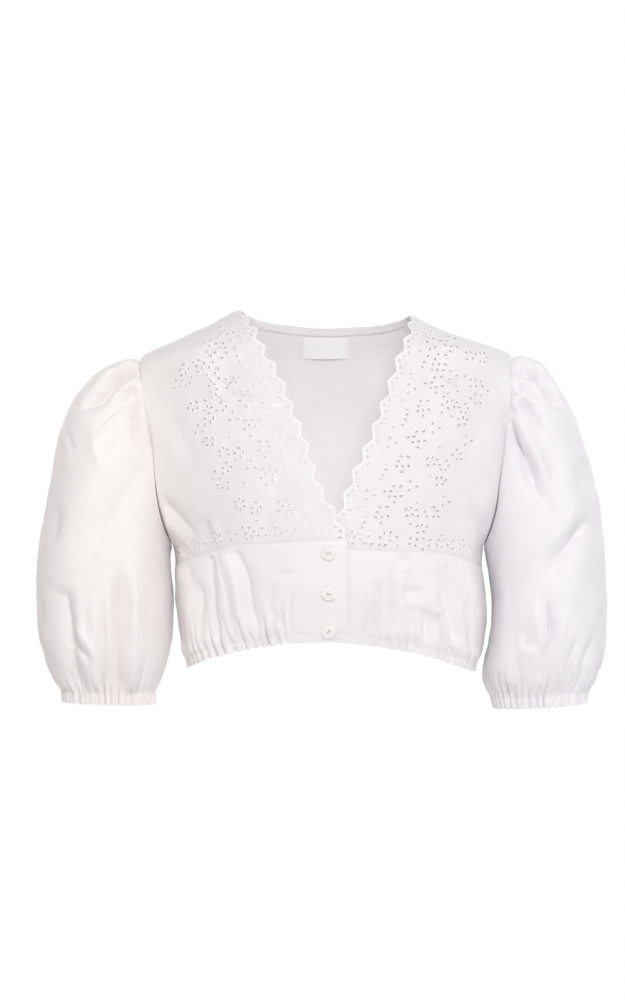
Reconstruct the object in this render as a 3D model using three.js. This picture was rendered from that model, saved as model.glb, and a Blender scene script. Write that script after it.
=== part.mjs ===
// A white cotton dirndl blouse in the shape that it has when it is worn, open and hollow inside.
// Millimetres, +Z up. The front faces -Y and +X is the wearer's left. The origin is in the middle
// of the neck, level with the shoulder ridges, where the wearer holds the blouse up.
// Every panel is a cloth wall: rows of points on one body surface or one sleeve surface, each with
// the direction of its thickness. Neighbouring panels share those rows, a seam gap apart.
import * as THREE from 'three';

// Cloth and seams
const CLOTH = 1.3;
const CASING = 2.0;
const BINDING_CLOTH = 1.0;
const LABEL_CLOTH = 1.0;
const SEAM_GAP = 0.36;
const LAID_GAP = 0.5;

// Body surface: how square its sections are, and its armholes
const SQUARENESS = 2.2;
const ARMHOLE_DEPTH = { front: 42, back: 46 };
const ARMHOLE_FADE = 16;
const ARMHOLE_SOFTNESS = 1.5;
const UNDERARM_TURN = { angle: 90, range: [85, 150] };
const FACE_SIGN = { front: -1, back: 1 };

// Front opening: the wearer's right front laps over the left one
const LAP_LIFT = 1.05;
const LAP_ACROSS = [70, 32];
const LAP_DOWN = [-165, -197];

// Zigzag neck edge
const TOOTH_DEPTH = 7;
const TOOTH_STRIP = 0.065;

// Gathers and pleats, each with the range over which it rises from nothing to its full height:
// shares of a front from the bust seam, 0, to the hem, 1, heights above the back's hem, sleeve
// rings, or degrees from the top of the sleeve cap
const HEM_GATHER = { height: 1.9, front: [0.35, 0.9], back: [66, 8] };
const CUFF_GATHER = { height: 2.1, rings: [7, 9.6], inCasing: 0.8 };
const CAP_PLEAT = { height: 2.6, angle: [78, 60], start: [0, 0.5], end: [3, 0.9] };
const UNEVENNESS = { share: 0.18, waves: [61, 23] };
const HEM_CASING_HEIGHT = 9;
const HEM_CASING_SHARE = 0.9;

// Folds fade out towards seams and hems over these ranges, in the same units
const FRONT_FOLD_FADE = { placket: [30.4, 45.6], top: [0, 0.15], hem: [0.92, 0.7], side: [1, 0.93] };
const BACK_FOLD_FADE = { side: [0, 0.06], hem: [12, 30] };
const SLEEVE_FOLD_FADE = { underarm: [-0.75, -0.3], cuff: [10, 9.3], cap: [0, 0.8] };

// Buttons, back neck binding and label
const BUTTON = { radius: 7.5, thickness: 2.8, edge: 0.8, rim: 1.9, dish: 0.9, sides: 18 };
const BUTTON_HEIGHTS = { top: -253.8, middle: -295.3, bottom: -335.1 };
const BINDING = { width: 8, reach: 86, inset: 0.6 };
const LABEL = { left: -27, right: 23.4, top: -19.6, bottom: -42.2, rows: 2, columns: 4 };

const table = (columns, rows) => rows.map(
  (row) => Object.fromEntries(columns.map((column, index) => [column, row[index]])),
);

// Outline from the front: half of the width at each height
const OUTLINE = {
  right: table(['z', 'halfWidth'], [
    [6.6, 95], [0, 110], [-10, 127], [-20.5, 150], [-31, 174], [-42, 197], [-48.6, 203],
    [-79, 199], [-107, 193], [-143, 187], [-173, 184.5], [-205, 180], [-228, 174], [-247.3, 167],
    [-264, 164.4], [-280, 164.4], [-300, 164], [-325, 162], [-352, 158], [-370, 153],
    [-379, 150.5],
  ]),
  left: table(['z', 'halfWidth'], [
    [0.3, 89], [-3, 97], [-9.7, 110], [-20.5, 135], [-31.3, 170], [-40, 193], [-45.4, 198],
    [-82, 196], [-107, 193], [-131, 189.6], [-173, 183], [-205, 179], [-230, 173], [-249, 167],
    [-264, 165.6], [-280, 167], [-300, 170], [-325, 171], [-352, 167.5], [-370, 161], [-383, 157],
  ]),
};
const ARMHOLE = { right: { top: -48.6, bottom: -247.3 }, left: { top: -45.4, bottom: -249 } };

// Side view: depth of the front and the back in the middle of the body
const MID_DEPTH = {
  front: table(['z', 'depth'], [
    [7, 38], [0, 46], [-10, 54], [-32, 66], [-50, 73], [-80, 84], [-110, 94], [-140, 102],
    [-175, 111], [-213, 119], [-245, 123], [-280, 120], [-310, 113], [-335, 105], [-352, 99],
    [-385, 92],
  ]),
  back: table(['z', 'depth'], [
    [8, 40], [-10, 50], [-21, 56], [-32, 62], [-46, 69], [-79, 80], [-107, 88], [-143, 95],
    [-173, 98], [-213, 99], [-250, 97], [-280, 95], [-300, 92], [-325, 88], [-352, 84],
    [-370, 81], [-385, 79],
  ]),
};
const ROLL = table(['z', 'power'], [
  [0, 0.5], [-49, 0.55], [-79, 0.8], [-107, 0.95], [-143, 1], [-173, 0.93], [-205, 0.78],
  [-235, 0.64], [-262, 0.55], [-290, 0.5], [-385, 0.5],
]);

// Edges seen from the front
const NECK_EDGE = {
  right: table(['z', 'x'], [
    [6.6, -95], [-17, -78], [-37, -70], [-68, -51.5], [-98, -39.5], [-138, -24], [-178, -12],
    [-215, 7.5], [-241, 19],
  ]),
  left: table(['z', 'x'], [
    [0.3, 89], [-23, 85], [-42, 76], [-61, 69.5], [-96, 57.5], [-136, 42.5], [-176, 24.5],
    [-212, 10.8], [-230, 2.5], [-249.5, -14],
  ]),
};
const BACK_NECK = table(['x', 'z'], [
  [-95, 6.6], [-75, -2.6], [-50, -7.4], [0, -10.6], [50, -8.4], [75, -4.6], [89, 0.3],
]);
const BUST_SEAM = {
  right: table(['x', 'z'], [
    [-165, -268], [-147, -262.6], [-118, -252.3], [-87, -245.6], [19, -241],
  ]),
  left: table(['x', 'z'], [
    [-14, -249.5], [22, -250.5], [67, -252.8], [110.6, -254.2], [144, -261.4], [167, -270],
  ]),
};
const FRONT_HEM = table(['x', 'z'], [
  [-150.5, -379], [-137, -370.5], [-115, -364], [-88, -356.5], [-61, -351.5], [-37, -348],
  [0, -347], [38, -351], [75, -357], [96, -361.5], [118, -367.5], [135, -374], [157, -383],
]);
const BACK_HEM = table(['x', 'z'], [
  [-150.5, -379], [-110, -366], [-60, -356], [0, -352], [60, -357], [115, -369], [157, -383],
]);

// Front panels: edge of the opening, the princess seam's place above and below, and the teeth
const FRONT = {
  right: { edge: 19, lap: 1, seamTop: 44.7, seamHem: 35.6, teeth: 13, hemGathers: [6, 10] },
  left: { edge: -14, lap: -1, seamTop: 60, seamHem: 67, teeth: 12, hemGathers: [12, 5] },
};
const PRINCESS_SHARE = { right: 0.45, left: 0.7 };

// Sleeve rings from the armhole to the cuff: outer and inner point, and depth to each face
const SLEEVE_RING = ['outX', 'outZ', 'inX', 'inZ', 'front', 'back'];
const SLEEVES = {
  right: table(SLEEVE_RING, [
    [-202.5, -48.6, -169, -247.3, 42, 46], [-233.3, -54, -170.6, -256, 52, 54],
    [-265.7, -79.9, -169.6, -270, 61, 62], [-287.3, -121, -169, -287.3, 68, 68],
    [-298.1, -171.7, -168, -304.6, 72, 72], [-307.8, -225.7, -167.3, -321.8, 75, 74],
    [-314.3, -279.7, -167.9, -341.3, 76, 75], [-313.2, -328.3, -171.2, -360.7, 73, 72],
    [-305.6, -369.4, -176, -380.2, 64, 63], [-295.9, -395.3, -181.4, -397.4, 52, 51],
    [-289.4, -406, -184.7, -407.2, 46, 46], [-288.4, -416.9, -184.7, -419, 45, 45],
  ]),
  left: table(SLEEVE_RING, [
    [198.2, -45.4, 169, -249, 42, 46], [224.6, -50.8, 170.6, -259, 52, 54],
    [251.6, -82, 173.8, -275.4, 61, 62], [271, -123, 176, -292.7, 68, 68],
    [285, -169.6, 177.6, -311, 72, 72], [294.8, -220.3, 177, -330.5, 75, 74],
    [299.2, -279.7, 173.6, -352, 76, 75], [300.2, -328.3, 169.5, -371.5, 73, 72],
    [297, -367.2, 167.8, -389.9, 64, 63], [290.5, -393, 170.6, -404, 52, 51],
    [283, -407.2, 173.9, -413.6, 46, 46], [280.8, -418, 177.1, -424.4, 45, 45],
  ]),
};
const SLEEVE_COLUMNS = 56;
const SLEEVE_ROWS = [0, 0.35, 0.8, 1.4, 2.1, 2.9, 3.7, 4.5, 5.3, 6.1, 6.9, 7.7, 8.5, 9.25, 10];
const CUFF_ROWS = [10, 11];
const CUFF_RING = 10;
const ARMHOLE_FIT_RINGS = [1.5, 0];
const SLEEVE_MIDDLE = { y: 1, rings: [0, 2] };

// Largest folds: a trough along a line seen from the front or the back
const FOLD = ['face', 'x1', 'z1', 'x2', 'z2', 'depth', 'width'];
const SLEEVE_FOLDS = table(FOLD, [
  ['front', -214, -62, -262, -102, 5, 11], ['front', -206, -88, -206, -126, 3, 9],
  ['front', -200, -168, -267, -283, 4, 20], ['front', -220, -258, -209, -330, 5, 13],
  ['front', -209, -330, -213, -392, 5, 12], ['front', -278, -306, -268, -392, 6, 13],
  ['back', -226, -70, -268, -130, 5, 13], ['back', -215, -210, -250, -330, 5, 17],
  ['back', -280, -290, -262, -388, 5, 14],
  ['front', 216, -62, 256, -108, 5, 11], ['front', 190, -112, 224, -196, 6, 12],
  ['front', 286, -210, 239, -262, 5, 14], ['front', 239, -262, 226, -300, 5, 12],
  ['front', 228, -312, 236, -386, 5, 12], ['front', 266, -320, 256, -392, 4, 13],
  ['back', 218, -66, 254, -128, 5, 13], ['back', 206, -220, 236, -330, 5, 17],
  ['back', 268, -300, 252, -392, 5, 14],
]);
const BODY_FOLDS = table(FOLD, [
  ['front', -97, -262, -84, -300, 3.5, 9], ['front', -84, -300, -70, -342, 3.5, 9],
  ['front', 48, -272, 48, -330, 3, 8], ['front', 118, -276, 131, -340, 3, 9],
  ['back', -96, -256, -78, -330, 4, 14], ['back', -34, -270, -30, -334, 3, 13],
  ['back', 46, -262, 40, -332, 4, 14], ['back', 104, -258, 92, -336, 3.5, 14],
]);

// Numbers of columns across the upper fronts and the back
const UPPER_COLUMNS = [0, TOOTH_STRIP, 0.19, 0.32, 0.45, 0.58, 0.7, 0.81, 0.91, 1];
const FRONT_SIDE_ROWS = 2;
const LOWER_ROWS = [0, 0.2, 0.4, 0.58, 0.74, 0.86];
const PLACKET_COLUMNS = 3;
const BACK_COLUMNS = 28;
const BACK_SHOULDER_COLUMNS = 5;
const BACK_SIDE_HEIGHTS = [1, 0.8, 0.6, 0.4, 0.2];
const BACK_ARMHOLE_ROWS = 16;
const BACK_FINE_ROWS = 4;
const BACK_NECK_CROWDING = 0.75;
const NECK_SAMPLES = 160;
const SHOULDER_SAMPLES = 60;

const UP = new THREE.Vector3(0, 0, 1);
const radians = THREE.MathUtils.degToRad;
const mix = THREE.MathUtils.lerp;
const clamp = THREE.MathUtils.clamp;
const ramp = (value, from, to) => {
  const share = clamp((value - from) / (to - from), 0, 1);
  return share * share * (3 - 2 * share);
};

/** A smooth curve through a table's points that doesn't overshoot and runs straight past its ends. */
function curve(rows, along, value) {
  const points = rows.map((row) => [row[along], row[value]]).sort((a, b) => a[0] - b[0]);
  const secants = points.slice(1).map((point, i) => (
    (point[1] - points[i][1]) / (point[0] - points[i][0])
  ));
  const slopes = points.map((_, i) => {
    if (i === 0) return secants[0];
    if (i === points.length - 1) return secants[i - 1];
    const [before, after] = [secants[i - 1], secants[i]];
    return before * after <= 0 ? 0 : (2 * before * after) / (before + after);
  });
  return (t) => {
    const last = points.length - 1;
    if (t <= points[0][0]) return points[0][1] + slopes[0] * (t - points[0][0]);
    if (t >= points[last][0]) return points[last][1] + slopes[last] * (t - points[last][0]);
    const i = points.findIndex((point, index) => index < last && t <= points[index + 1][0]);
    const width = points[i + 1][0] - points[i][0];
    const s = (t - points[i][0]) / width;
    const start = (1 + 2 * s) * (1 - s) ** 2 * points[i][1] + s * (1 - s) ** 2 * width * slopes[i];
    const end = s * s * (3 - 2 * s) * points[i + 1][1] + s * s * (s - 1) * width * slopes[i + 1];
    return start + end;
  };
}

const bothSides = (make) => ({ right: make('right'), left: make('left') });
const halfWidth = bothSides((side) => curve(OUTLINE[side], 'z', 'halfWidth'));
const bustSeam = bothSides((side) => curve(BUST_SEAM[side], 'x', 'z'));
const neckEdge = bothSides((side) => curve(NECK_EDGE[side], 'z', 'x'));
const midDepth = {
  front: curve(MID_DEPTH.front, 'z', 'depth'), back: curve(MID_DEPTH.back, 'z', 'depth'),
};
const roll = curve(ROLL, 'z', 'power');
const hem = { front: curve(FRONT_HEM, 'x', 'z'), back: curve(BACK_HEM, 'x', 'z') };
const backNeck = curve(BACK_NECK, 'x', 'z');
const sideOf = (x) => (x < 0 ? 'right' : 'left');
const sideSign = { right: -1, left: 1 };

/** Depth of the armhole's rim at a height, and the softer depth that it gives the cloth near it. */
function armDepth(side, face, z) {
  const { top, bottom } = ARMHOLE[side];
  const t = clamp((2 * z - top - bottom) / (top - bottom), -1, 1);
  const depth = ARMHOLE_DEPTH[face];
  return { rim: depth * Math.sqrt(1 - t * t), near: depth * (1 - t * t) ** ARMHOLE_SOFTNESS };
}

/** Depth of the body's surface at a share of its half width. */
function bodyDepth(x, z, face) {
  const side = sideOf(x);
  const share = Math.min(Math.abs(x) / halfWidth[side](z), 1);
  const { rim, near } = armDepth(side, face, z);
  const arm = mix(near, rim, share ** ARMHOLE_FADE);
  return arm + (midDepth[face](z) - arm) * (1 - share ** SQUARENESS) ** roll(z);
}

/** How far a point lies outside the body's surface, as a number that is 0 on it. */
function outside(point, face) {
  const side = sideOf(point.x);
  const share = Math.abs(point.x) / halfWidth[side](point.z);
  const { rim, near } = armDepth(side, face, point.z);
  const arm = mix(near, rim, Math.min(share, 1) ** ARMHOLE_FADE);
  const rise = (FACE_SIGN[face] * point.y - arm) / (midDepth[face](point.z) - arm);
  return Math.sign(rise) * Math.abs(rise) ** (1 / roll(point.z)) + share ** SQUARENESS - 1;
}

function bodyNormal(point, face) {
  const step = 0.02;
  const slope = (axis) => {
    const ahead = point.clone();
    const behind = point.clone();
    ahead[axis] += step;
    behind[axis] -= step;
    return outside(ahead, face) - outside(behind, face);
  };
  return new THREE.Vector3(slope('x'), slope('y'), slope('z')).normalize();
}

/** Moves a point along the cloth, square to its normal, in the direction nearest to the given one. */
function slide(point, normal, direction, distance) {
  const along = direction.clone().addScaledVector(normal, -direction.dot(normal)).normalize();
  return point.clone().addScaledVector(along, distance);
}

/** Depth of the troughs of the folds that cross a place on a face. */
function foldDepth(folds, face, x, z) {
  let depth = 0;
  for (const fold of folds) {
    const [dx, dz] = [fold.x2 - fold.x1, fold.z2 - fold.z1];
    const share = ((x - fold.x1) * dx + (z - fold.z1) * dz) / (dx * dx + dz * dz);
    const near = clamp(share, 0, 1);
    const away = Math.hypot(x - fold.x1 - near * dx, z - fold.z1 - near * dz) / fold.width;
    if (fold.face === face) depth += fold.depth * Math.exp(-away * away);
  }
  return depth;
}

/** A point of the body's cloth with the direction of its thickness. */
function bodySpot(x, z, face, { lap = 0, lift = 0, thickness = CLOTH } = {}) {
  const point = new THREE.Vector3(x, FACE_SIGN[face] * bodyDepth(x, z, face), z);
  const normal = bodyNormal(point, face);
  const lapped = ramp(Math.abs(x), ...LAP_ACROSS) * ramp(z, ...LAP_DOWN);
  point.addScaledVector(normal, lift + lap * LAP_LIFT * lapped);
  return { point, normal, thickness };
}

/** The armhole's rim at an angle from its top, with its outward direction in the side view. */
function armholeRim(side, face, angle) {
  const { top, bottom } = ARMHOLE[side];
  const half = (top - bottom) / 2;
  const z = (top + bottom) / 2 + half * Math.cos(angle);
  const depth = ARMHOLE_DEPTH[face] * Math.sin(angle);
  const x = sideSign[side] * halfWidth[side](z);
  const radial = new THREE.Vector3(
    0, FACE_SIGN[face] * Math.sin(angle) / ARMHOLE_DEPTH[face], Math.cos(angle) / half,
  ).normalize();
  return { point: new THREE.Vector3(x, FACE_SIGN[face] * depth, z), radial, turn: underarmTurn(angle) };
}

/** Towards the underarm the body's wall and the sleeve's wall turn away from each other. */
function underarmTurn(angle) {
  return radians(UNDERARM_TURN.angle) * ramp(angle, ...UNDERARM_TURN.range.map(radians));
}

function turnedNormal(rim, side, towards) {
  const across = sideSign[side] * towards * Math.sin(rim.turn);
  return rim.radial.clone().multiplyScalar(Math.cos(rim.turn)).add(new THREE.Vector3(across, 0, 0));
}

/** Blends four edges, given as functions that return [x, z], into a patch. */
function patch(bottom, top, first, last) {
  const corners = [bottom(0), bottom(1), top(0), top(1)];
  return (u, v, row) => [0, 1].map((k) => (
    (1 - v) * bottom(u)[k] + v * top(u)[k] + (1 - u) * first(row)[k] + u * last(row)[k]
    - (1 - u) * (1 - v) * corners[0][k] - u * (1 - v) * corners[1][k]
    - (1 - u) * v * corners[2][k] - u * v * corners[3][k]
  ));
}

/** Places at equal lengths along a line of points. */
function byLength(points) {
  const lengths = [0];
  for (let i = 1; i < points.length; i += 1) {
    lengths.push(lengths[i - 1] + points[i].distanceTo(points[i - 1]));
  }
  return (share) => {
    const goal = share * lengths[lengths.length - 1];
    const i = clamp(lengths.findIndex((length) => length >= goal), 1, points.length - 1);
    const part = (goal - lengths[i - 1]) / (lengths[i] - lengths[i - 1]);
    return points[i - 1].clone().lerp(points[i], part);
  };
}

const steps = (count, place) => Array.from({ length: count + 1 }, (_, i) => place(i / count));

/** The neck edge of a front by length, from the bust seam up to the shoulder, as [x, z]. */
function neckByLength(side) {
  const low = NECK_EDGE[side][NECK_EDGE[side].length - 1].z;
  const high = NECK_EDGE[side][0].z;
  const points = steps(NECK_SAMPLES, (t) => {
    const z = mix(low, high, 1 - (1 - t) ** 2);
    const x = neckEdge[side](z);
    return new THREE.Vector3(x, -bodyDepth(x, z, 'front'), z);
  });
  const place = byLength(points);
  return (share) => [place(share).x, place(share).z];
}

/** The shoulder ridge from the neck to the armhole, by length, as [x, z]. */
function shoulderByLength(side) {
  const points = steps(SHOULDER_SAMPLES, (t) => {
    const z = mix(OUTLINE[side][0].z, ARMHOLE[side].top, t);
    return new THREE.Vector3(sideSign[side] * halfWidth[side](z), 0, z);
  });
  const place = byLength(points);
  return (share) => [place(share).x, place(share).z];
}

/** The angle round the body at a share of a front, whose princess seam wanders down its height. */
function frontAngle(side, share, down, z) {
  const front = FRONT[side];
  const edge = -Math.asin((sideSign[side] * -front.edge) / halfWidth[side](z));
  const seam = radians(mix(front.seamTop, front.seamHem, down));
  const split = PRINCESS_SHARE[side];
  if (share <= split) return mix(edge, seam, share / split);
  return mix(seam, Math.PI / 2, (share - split) / (1 - split));
}

/** A place on a front between the bust seam, 0, and the hem, 1, as [x, z]. */
function frontPlace(side, share, down) {
  let z = mix(bustSeam[side](0), hem.front(0), down);
  let x = 0;
  for (let pass = 0; pass < 4; pass += 1) {
    x = sideSign[side] * halfWidth[side](z) * Math.sin(frontAngle(side, share, down, z));
    z = mix(bustSeam[side](x), hem.front(x), down);
  }
  return [x, z];
}

/** Closes a sheet of triangles into a wall, with a cap along every open edge. */
function thicken(spots, triangles) {
  const positions = [];
  for (const way of [0.5, -0.5]) {
    for (const { point, normal, thickness } of spots) {
      positions.push(...point.clone().addScaledVector(normal, way * thickness).toArray());
    }
  }
  const [first, second, third] = triangles[Math.floor(triangles.length / 2)].map((i) => spots[i]);
  const facing = second.point.clone().sub(first.point).cross(third.point.clone().sub(first.point));
  const outer = facing.dot(first.normal) > 0 ? triangles : triangles.map(([a, b, c]) => [a, c, b]);
  const edges = new Set();
  for (const [a, b, c] of outer) {
    for (const edge of [[a, b], [b, c], [c, a]]) edges.add(edge.join());
  }
  const index = outer.flat();
  for (const [a, b, c] of outer) index.push(a + spots.length, c + spots.length, b + spots.length);
  for (const edge of edges) {
    const [a, b] = edge.split(',').map(Number);
    if (!edges.has([b, a].join())) {
      index.push(b, a, a + spots.length, b, a + spots.length, b + spots.length);
    }
  }
  const geometry = new THREE.BufferGeometry();
  geometry.setAttribute('position', new THREE.Float32BufferAttribute(positions, 3));
  geometry.setIndex(index);
  geometry.computeVertexNormals();
  return geometry;
}

/** A wall over rows of spots. A row may have twice the columns of its neighbour. */
function wall(rows, wraps = false) {
  const starts = [];
  let count = 0;
  for (const row of rows) {
    starts.push(count);
    count += row.length;
  }
  const triangles = [];
  for (let i = 0; i + 1 < rows.length; i += 1) {
    const [here, next] = [rows[i].length, rows[i + 1].length];
    const at = (row, column) => starts[row] + (column % rows[row].length);
    const cells = Math.min(here, next) - (wraps ? 0 : 1);
    for (let j = 0; j < cells; j += 1) {
      if (here === next) {
        triangles.push([at(i, j), at(i, j + 1), at(i + 1, j + 1)]);
        triangles.push([at(i, j), at(i + 1, j + 1), at(i + 1, j)]);
      } else {
        const [fine, coarse] = here > next ? [i, i + 1] : [i + 1, i];
        const fan = [
          [at(coarse, j), at(fine, 2 * j), at(fine, 2 * j + 1)],
          [at(coarse, j), at(fine, 2 * j + 1), at(coarse, j + 1)],
          [at(coarse, j + 1), at(fine, 2 * j + 1), at(fine, 2 * j + 2)],
        ];
        triangles.push(...(here > next ? fan : fan.map(([a, b, c]) => [a, c, b])));
      }
    }
  }
  return thicken(rows.flat(), triangles);
}

const COTTON = { color: 0xf4f1f0, roughness: 0.86, metalness: 0 };
const PEARL = { color: 0xf1eee6, roughness: 0.32, metalness: 0 };
const SATIN = { color: 0xfcfcfc, roughness: 0.55, metalness: 0 };

const blouse = new THREE.Group();

function addPiece(name, geometry, finish = COTTON) {
  const mesh = new THREE.Mesh(geometry, new THREE.MeshStandardMaterial(finish));
  mesh.name = name;
  blouse.add(mesh);
  return mesh;
}

/** Upper front: eyelet cloth from the zigzag neck edge to the armhole, above the bust seam. */
function upperFront(side) {
  const { teeth, lap } = FRONT[side];
  const rowCount = 2 * teeth;
  const neck = neckByLength(side);
  const angleAt = (row) => Math.PI * (1 - (row - FRONT_SIDE_ROWS) / (rowCount - FRONT_SIDE_ROWS));
  const sideLow = frontPlace(side, 1, 0);
  const outerEdge = (row) => {
    const { bottom } = ARMHOLE[side];
    if (row > FRONT_SIDE_ROWS) {
      const { point } = armholeRim(side, 'front', angleAt(row));
      return [point.x, point.z];
    }
    const z = mix(sideLow[1], bottom, row / FRONT_SIDE_ROWS);
    return [sideSign[side] * halfWidth[side](z), z];
  };
  const place = patch(
    (u) => frontPlace(side, u, 0), shoulderByLength(side), (row) => neck(row / rowCount), outerEdge,
  );
  const rows = [bustSeamRow(side, 1)];
  for (let row = 1; row <= rowCount; row += 1) {
    rows.push(UPPER_COLUMNS.map((u, column) => {
      const [x, z] = place(u, row / rowCount, row);
      const spot = bodySpot(x, z, 'front', { lap });
      const atRim = column === UPPER_COLUMNS.length - 1 && row >= FRONT_SIDE_ROWS;
      if (atRim) {
        const rim = armholeRim(side, 'front', angleAt(row));
        spot.point.copy(rim.point).setX(rim.point.x - sideSign[side] * SEAM_GAP / 2);
        spot.normal.copy(turnedNormal(rim, side, 1));
      }
      if (column === 0 && row < rowCount) {
        const tip = row % 2 === 1 ? 0.5 : -0.5;
        const [before, after] = [neck((row - 1) / rowCount), neck((row + 1) / rowCount)];
        const edge = new THREE.Vector3(after[0] - before[0], 0, after[1] - before[1]);
        const outward = edge.cross(spot.normal).multiplyScalar(-sideSign[side]);
        spot.point.copy(slide(spot.point, spot.normal, outward, tip * TOOTH_DEPTH));
      }
      const onSideSeam = column === UPPER_COLUMNS.length - 1 && row <= FRONT_SIDE_ROWS;
      if (row === rowCount || onSideSeam) spot.point.y = -SEAM_GAP / 2;
      return spot;
    }));
  }
  return wall(rows);
}

/** Spots of the bust seam at the upper front's columns, half a gap above or below the seam. */
function bustSeamRow(side, way) {
  return UPPER_COLUMNS.map((u) => {
    const [x, z] = frontPlace(side, u, 0);
    const spot = bodySpot(x, z, 'front', { lap: FRONT[side].lap });
    spot.point.copy(slide(spot.point, spot.normal, UP, way * SEAM_GAP / 2));
    if (u === 1) spot.point.y = -SEAM_GAP / 2;
    return spot;
  });
}

/** The lower front's edge of the bust seam, which follows the upper front's columns. */
function bustSeamSpot(side, share) {
  const row = bustSeamRow(side, -1);
  const i = clamp(UPPER_COLUMNS.findIndex((u) => u >= share), 1, UPPER_COLUMNS.length - 1);
  const part = (share - UPPER_COLUMNS[i - 1]) / (UPPER_COLUMNS[i] - UPPER_COLUMNS[i - 1]);
  return {
    point: row[i - 1].point.clone().lerp(row[i].point, part),
    normal: row[i - 1].normal.clone().lerp(row[i].normal, part).normalize(),
    thickness: CLOTH,
  };
}

/** Shares across a lower front: plain columns on the placket, then one for each ridge and trough. */
function lowerColumns(side) {
  const split = PRINCESS_SHARE[side];
  const plain = split * 0.5;
  const [inner, outer] = FRONT[side].hemGathers;
  const columns = steps(PLACKET_COLUMNS, (t) => ({ share: plain * t, wave: 0 }));
  for (let i = 1; i <= 2 * inner; i += 1) {
    columns.push({ share: mix(plain, split, i / (2 * inner)), wave: i % 2 ? 1 : -1 });
  }
  for (let i = 1; i <= 2 * outer; i += 1) {
    const wave = i === 2 * outer ? 0 : (i % 2 ? 1 : -1);
    columns.push({ share: mix(split, 1, i / (2 * outer)), wave });
  }
  return columns;
}

/** Unevenness of a gather, so that neighbours differ in height. */
function unevenness(place) {
  const [quick, slow] = UNEVENNESS.waves;
  return 1 - UNEVENNESS.share * (1 - Math.sin(quick * place) * Math.cos(slow * place));
}

function lowerFrontSpot(side, column, down, thickness = CLOTH) {
  const [x, z] = frontPlace(side, column.share, down);
  const { placket, top, side: sideSeam, hem: low } = FRONT_FOLD_FADE;
  const clear = ramp(Math.abs(x), ...placket) * ramp(down, ...top) * ramp(column.share, ...sideSeam);
  const wave = column.wave * unevenness(column.share) * ramp(down, ...HEM_GATHER.front);
  const fold = foldDepth(BODY_FOLDS, 'front', x, z) * ramp(down, ...low);
  const lift = (HEM_GATHER.height * wave - fold) * clear;
  const spot = bodySpot(x, z, 'front', { lap: FRONT[side].lap, lift, thickness });
  if (column.share === 1) spot.point.y = -SEAM_GAP / 2;
  return spot;
}

/** The share of a front's height at which the hem casing starts. */
function casingStart(side, share) {
  const [top, low] = [frontPlace(side, share, 0)[1], frontPlace(side, share, 1)[1]];
  return 1 - HEM_CASING_HEIGHT / (top - low);
}

/** Lower front below the bust seam, in two panels that meet at the princess seam. */
function lowerFronts(side) {
  const columns = lowerColumns(side);
  const splitAt = columns.findIndex((column) => column.share >= PRINCESS_SHARE[side]);
  const rows = [...LOWER_ROWS, null].map((down, i) => columns.map((column) => {
    if (i === 0) return bustSeamSpot(side, column.share);
    const spot = lowerFrontSpot(side, column, down ?? casingStart(side, column.share));
    if (down === null) spot.point.copy(slide(spot.point, spot.normal, UP, SEAM_GAP / 2));
    return spot;
  }));
  const outward = new THREE.Vector3(sideSign[side], 0, 0);
  const panel = (from, to, seamColumn, way) => wall(rows.map((row) => (
    row.slice(from, to).map((spot, i) => (i + from === seamColumn
      ? { ...spot, point: slide(spot.point, spot.normal, outward, way * SEAM_GAP / 2) } : spot))
  )));
  addPiece(`front_${side}_centre_lower`, panel(0, splitAt + 1, splitAt, -1));
  addPiece(`front_${side}_side_lower`, panel(splitAt, columns.length, splitAt, 1));
  const casing = [0, 1].map((low) => columns.map((column) => {
    const start = casingStart(side, column.share);
    const spot = lowerFrontSpot(side, column, mix(start, 1, low), low ? CASING : CLOTH);
    if (!low) spot.point.copy(slide(spot.point, spot.normal, UP, -SEAM_GAP / 2));
    return spot;
  }));
  addPiece(`hem_casing_front_${side}`, wall(casing));
}

/** The top of the back, from the right armhole over both shoulders and the neck, as [x, z]. */
function backTop(u) {
  const shoulder = BACK_SHOULDER_COLUMNS / BACK_COLUMNS;
  if (u < shoulder) return shoulderByLength('right')(1 - u / shoulder);
  if (u > 1 - shoulder) return shoulderByLength('left')((u - 1 + shoulder) / shoulder);
  const x = mix(BACK_NECK[0].x, BACK_NECK[BACK_NECK.length - 1].x, backNeckShare(u));
  return [x, backNeck(x)];
}

/** Columns crowd towards the ends of the back neck, where it turns up to the shoulders. */
function backNeckShare(u) {
  const shoulder = BACK_SHOULDER_COLUMNS / BACK_COLUMNS;
  const t = (u - shoulder) / (1 - 2 * shoulder);
  return mix(t, 0.5 - 0.5 * Math.cos(Math.PI * t), BACK_NECK_CROWDING);
}

const backHemPlace = (u) => {
  const angle = radians(mix(-90, 90, u));
  const width = angle < 0 ? -BACK_HEM[0].x : BACK_HEM[BACK_HEM.length - 1].x;
  const x = width * Math.sin(angle);
  return [x, hem.back(x)];
};

/** Rows of the back, from the hem up: how far up they are, and where they meet each side. */
function backRows() {
  const sideRows = BACK_SIDE_HEIGHTS.map((low) => ({ low, angle: Math.PI }));
  const rimRows = steps(BACK_ARMHOLE_ROWS, (t) => ({ low: 0, angle: Math.PI * (1 - t) }));
  return [...sideRows, ...rimRows];
}

function backEdge(side, { low, angle }) {
  const bottom = hem.back(side === 'right' ? BACK_HEM[0].x : BACK_HEM[BACK_HEM.length - 1].x);
  if (low === 0) {
    const { point } = armholeRim(side, 'back', angle);
    return [point.x, point.z];
  }
  const z = mix(ARMHOLE[side].bottom, bottom, low);
  return [sideSign[side] * halfWidth[side](z), z];
}

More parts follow.
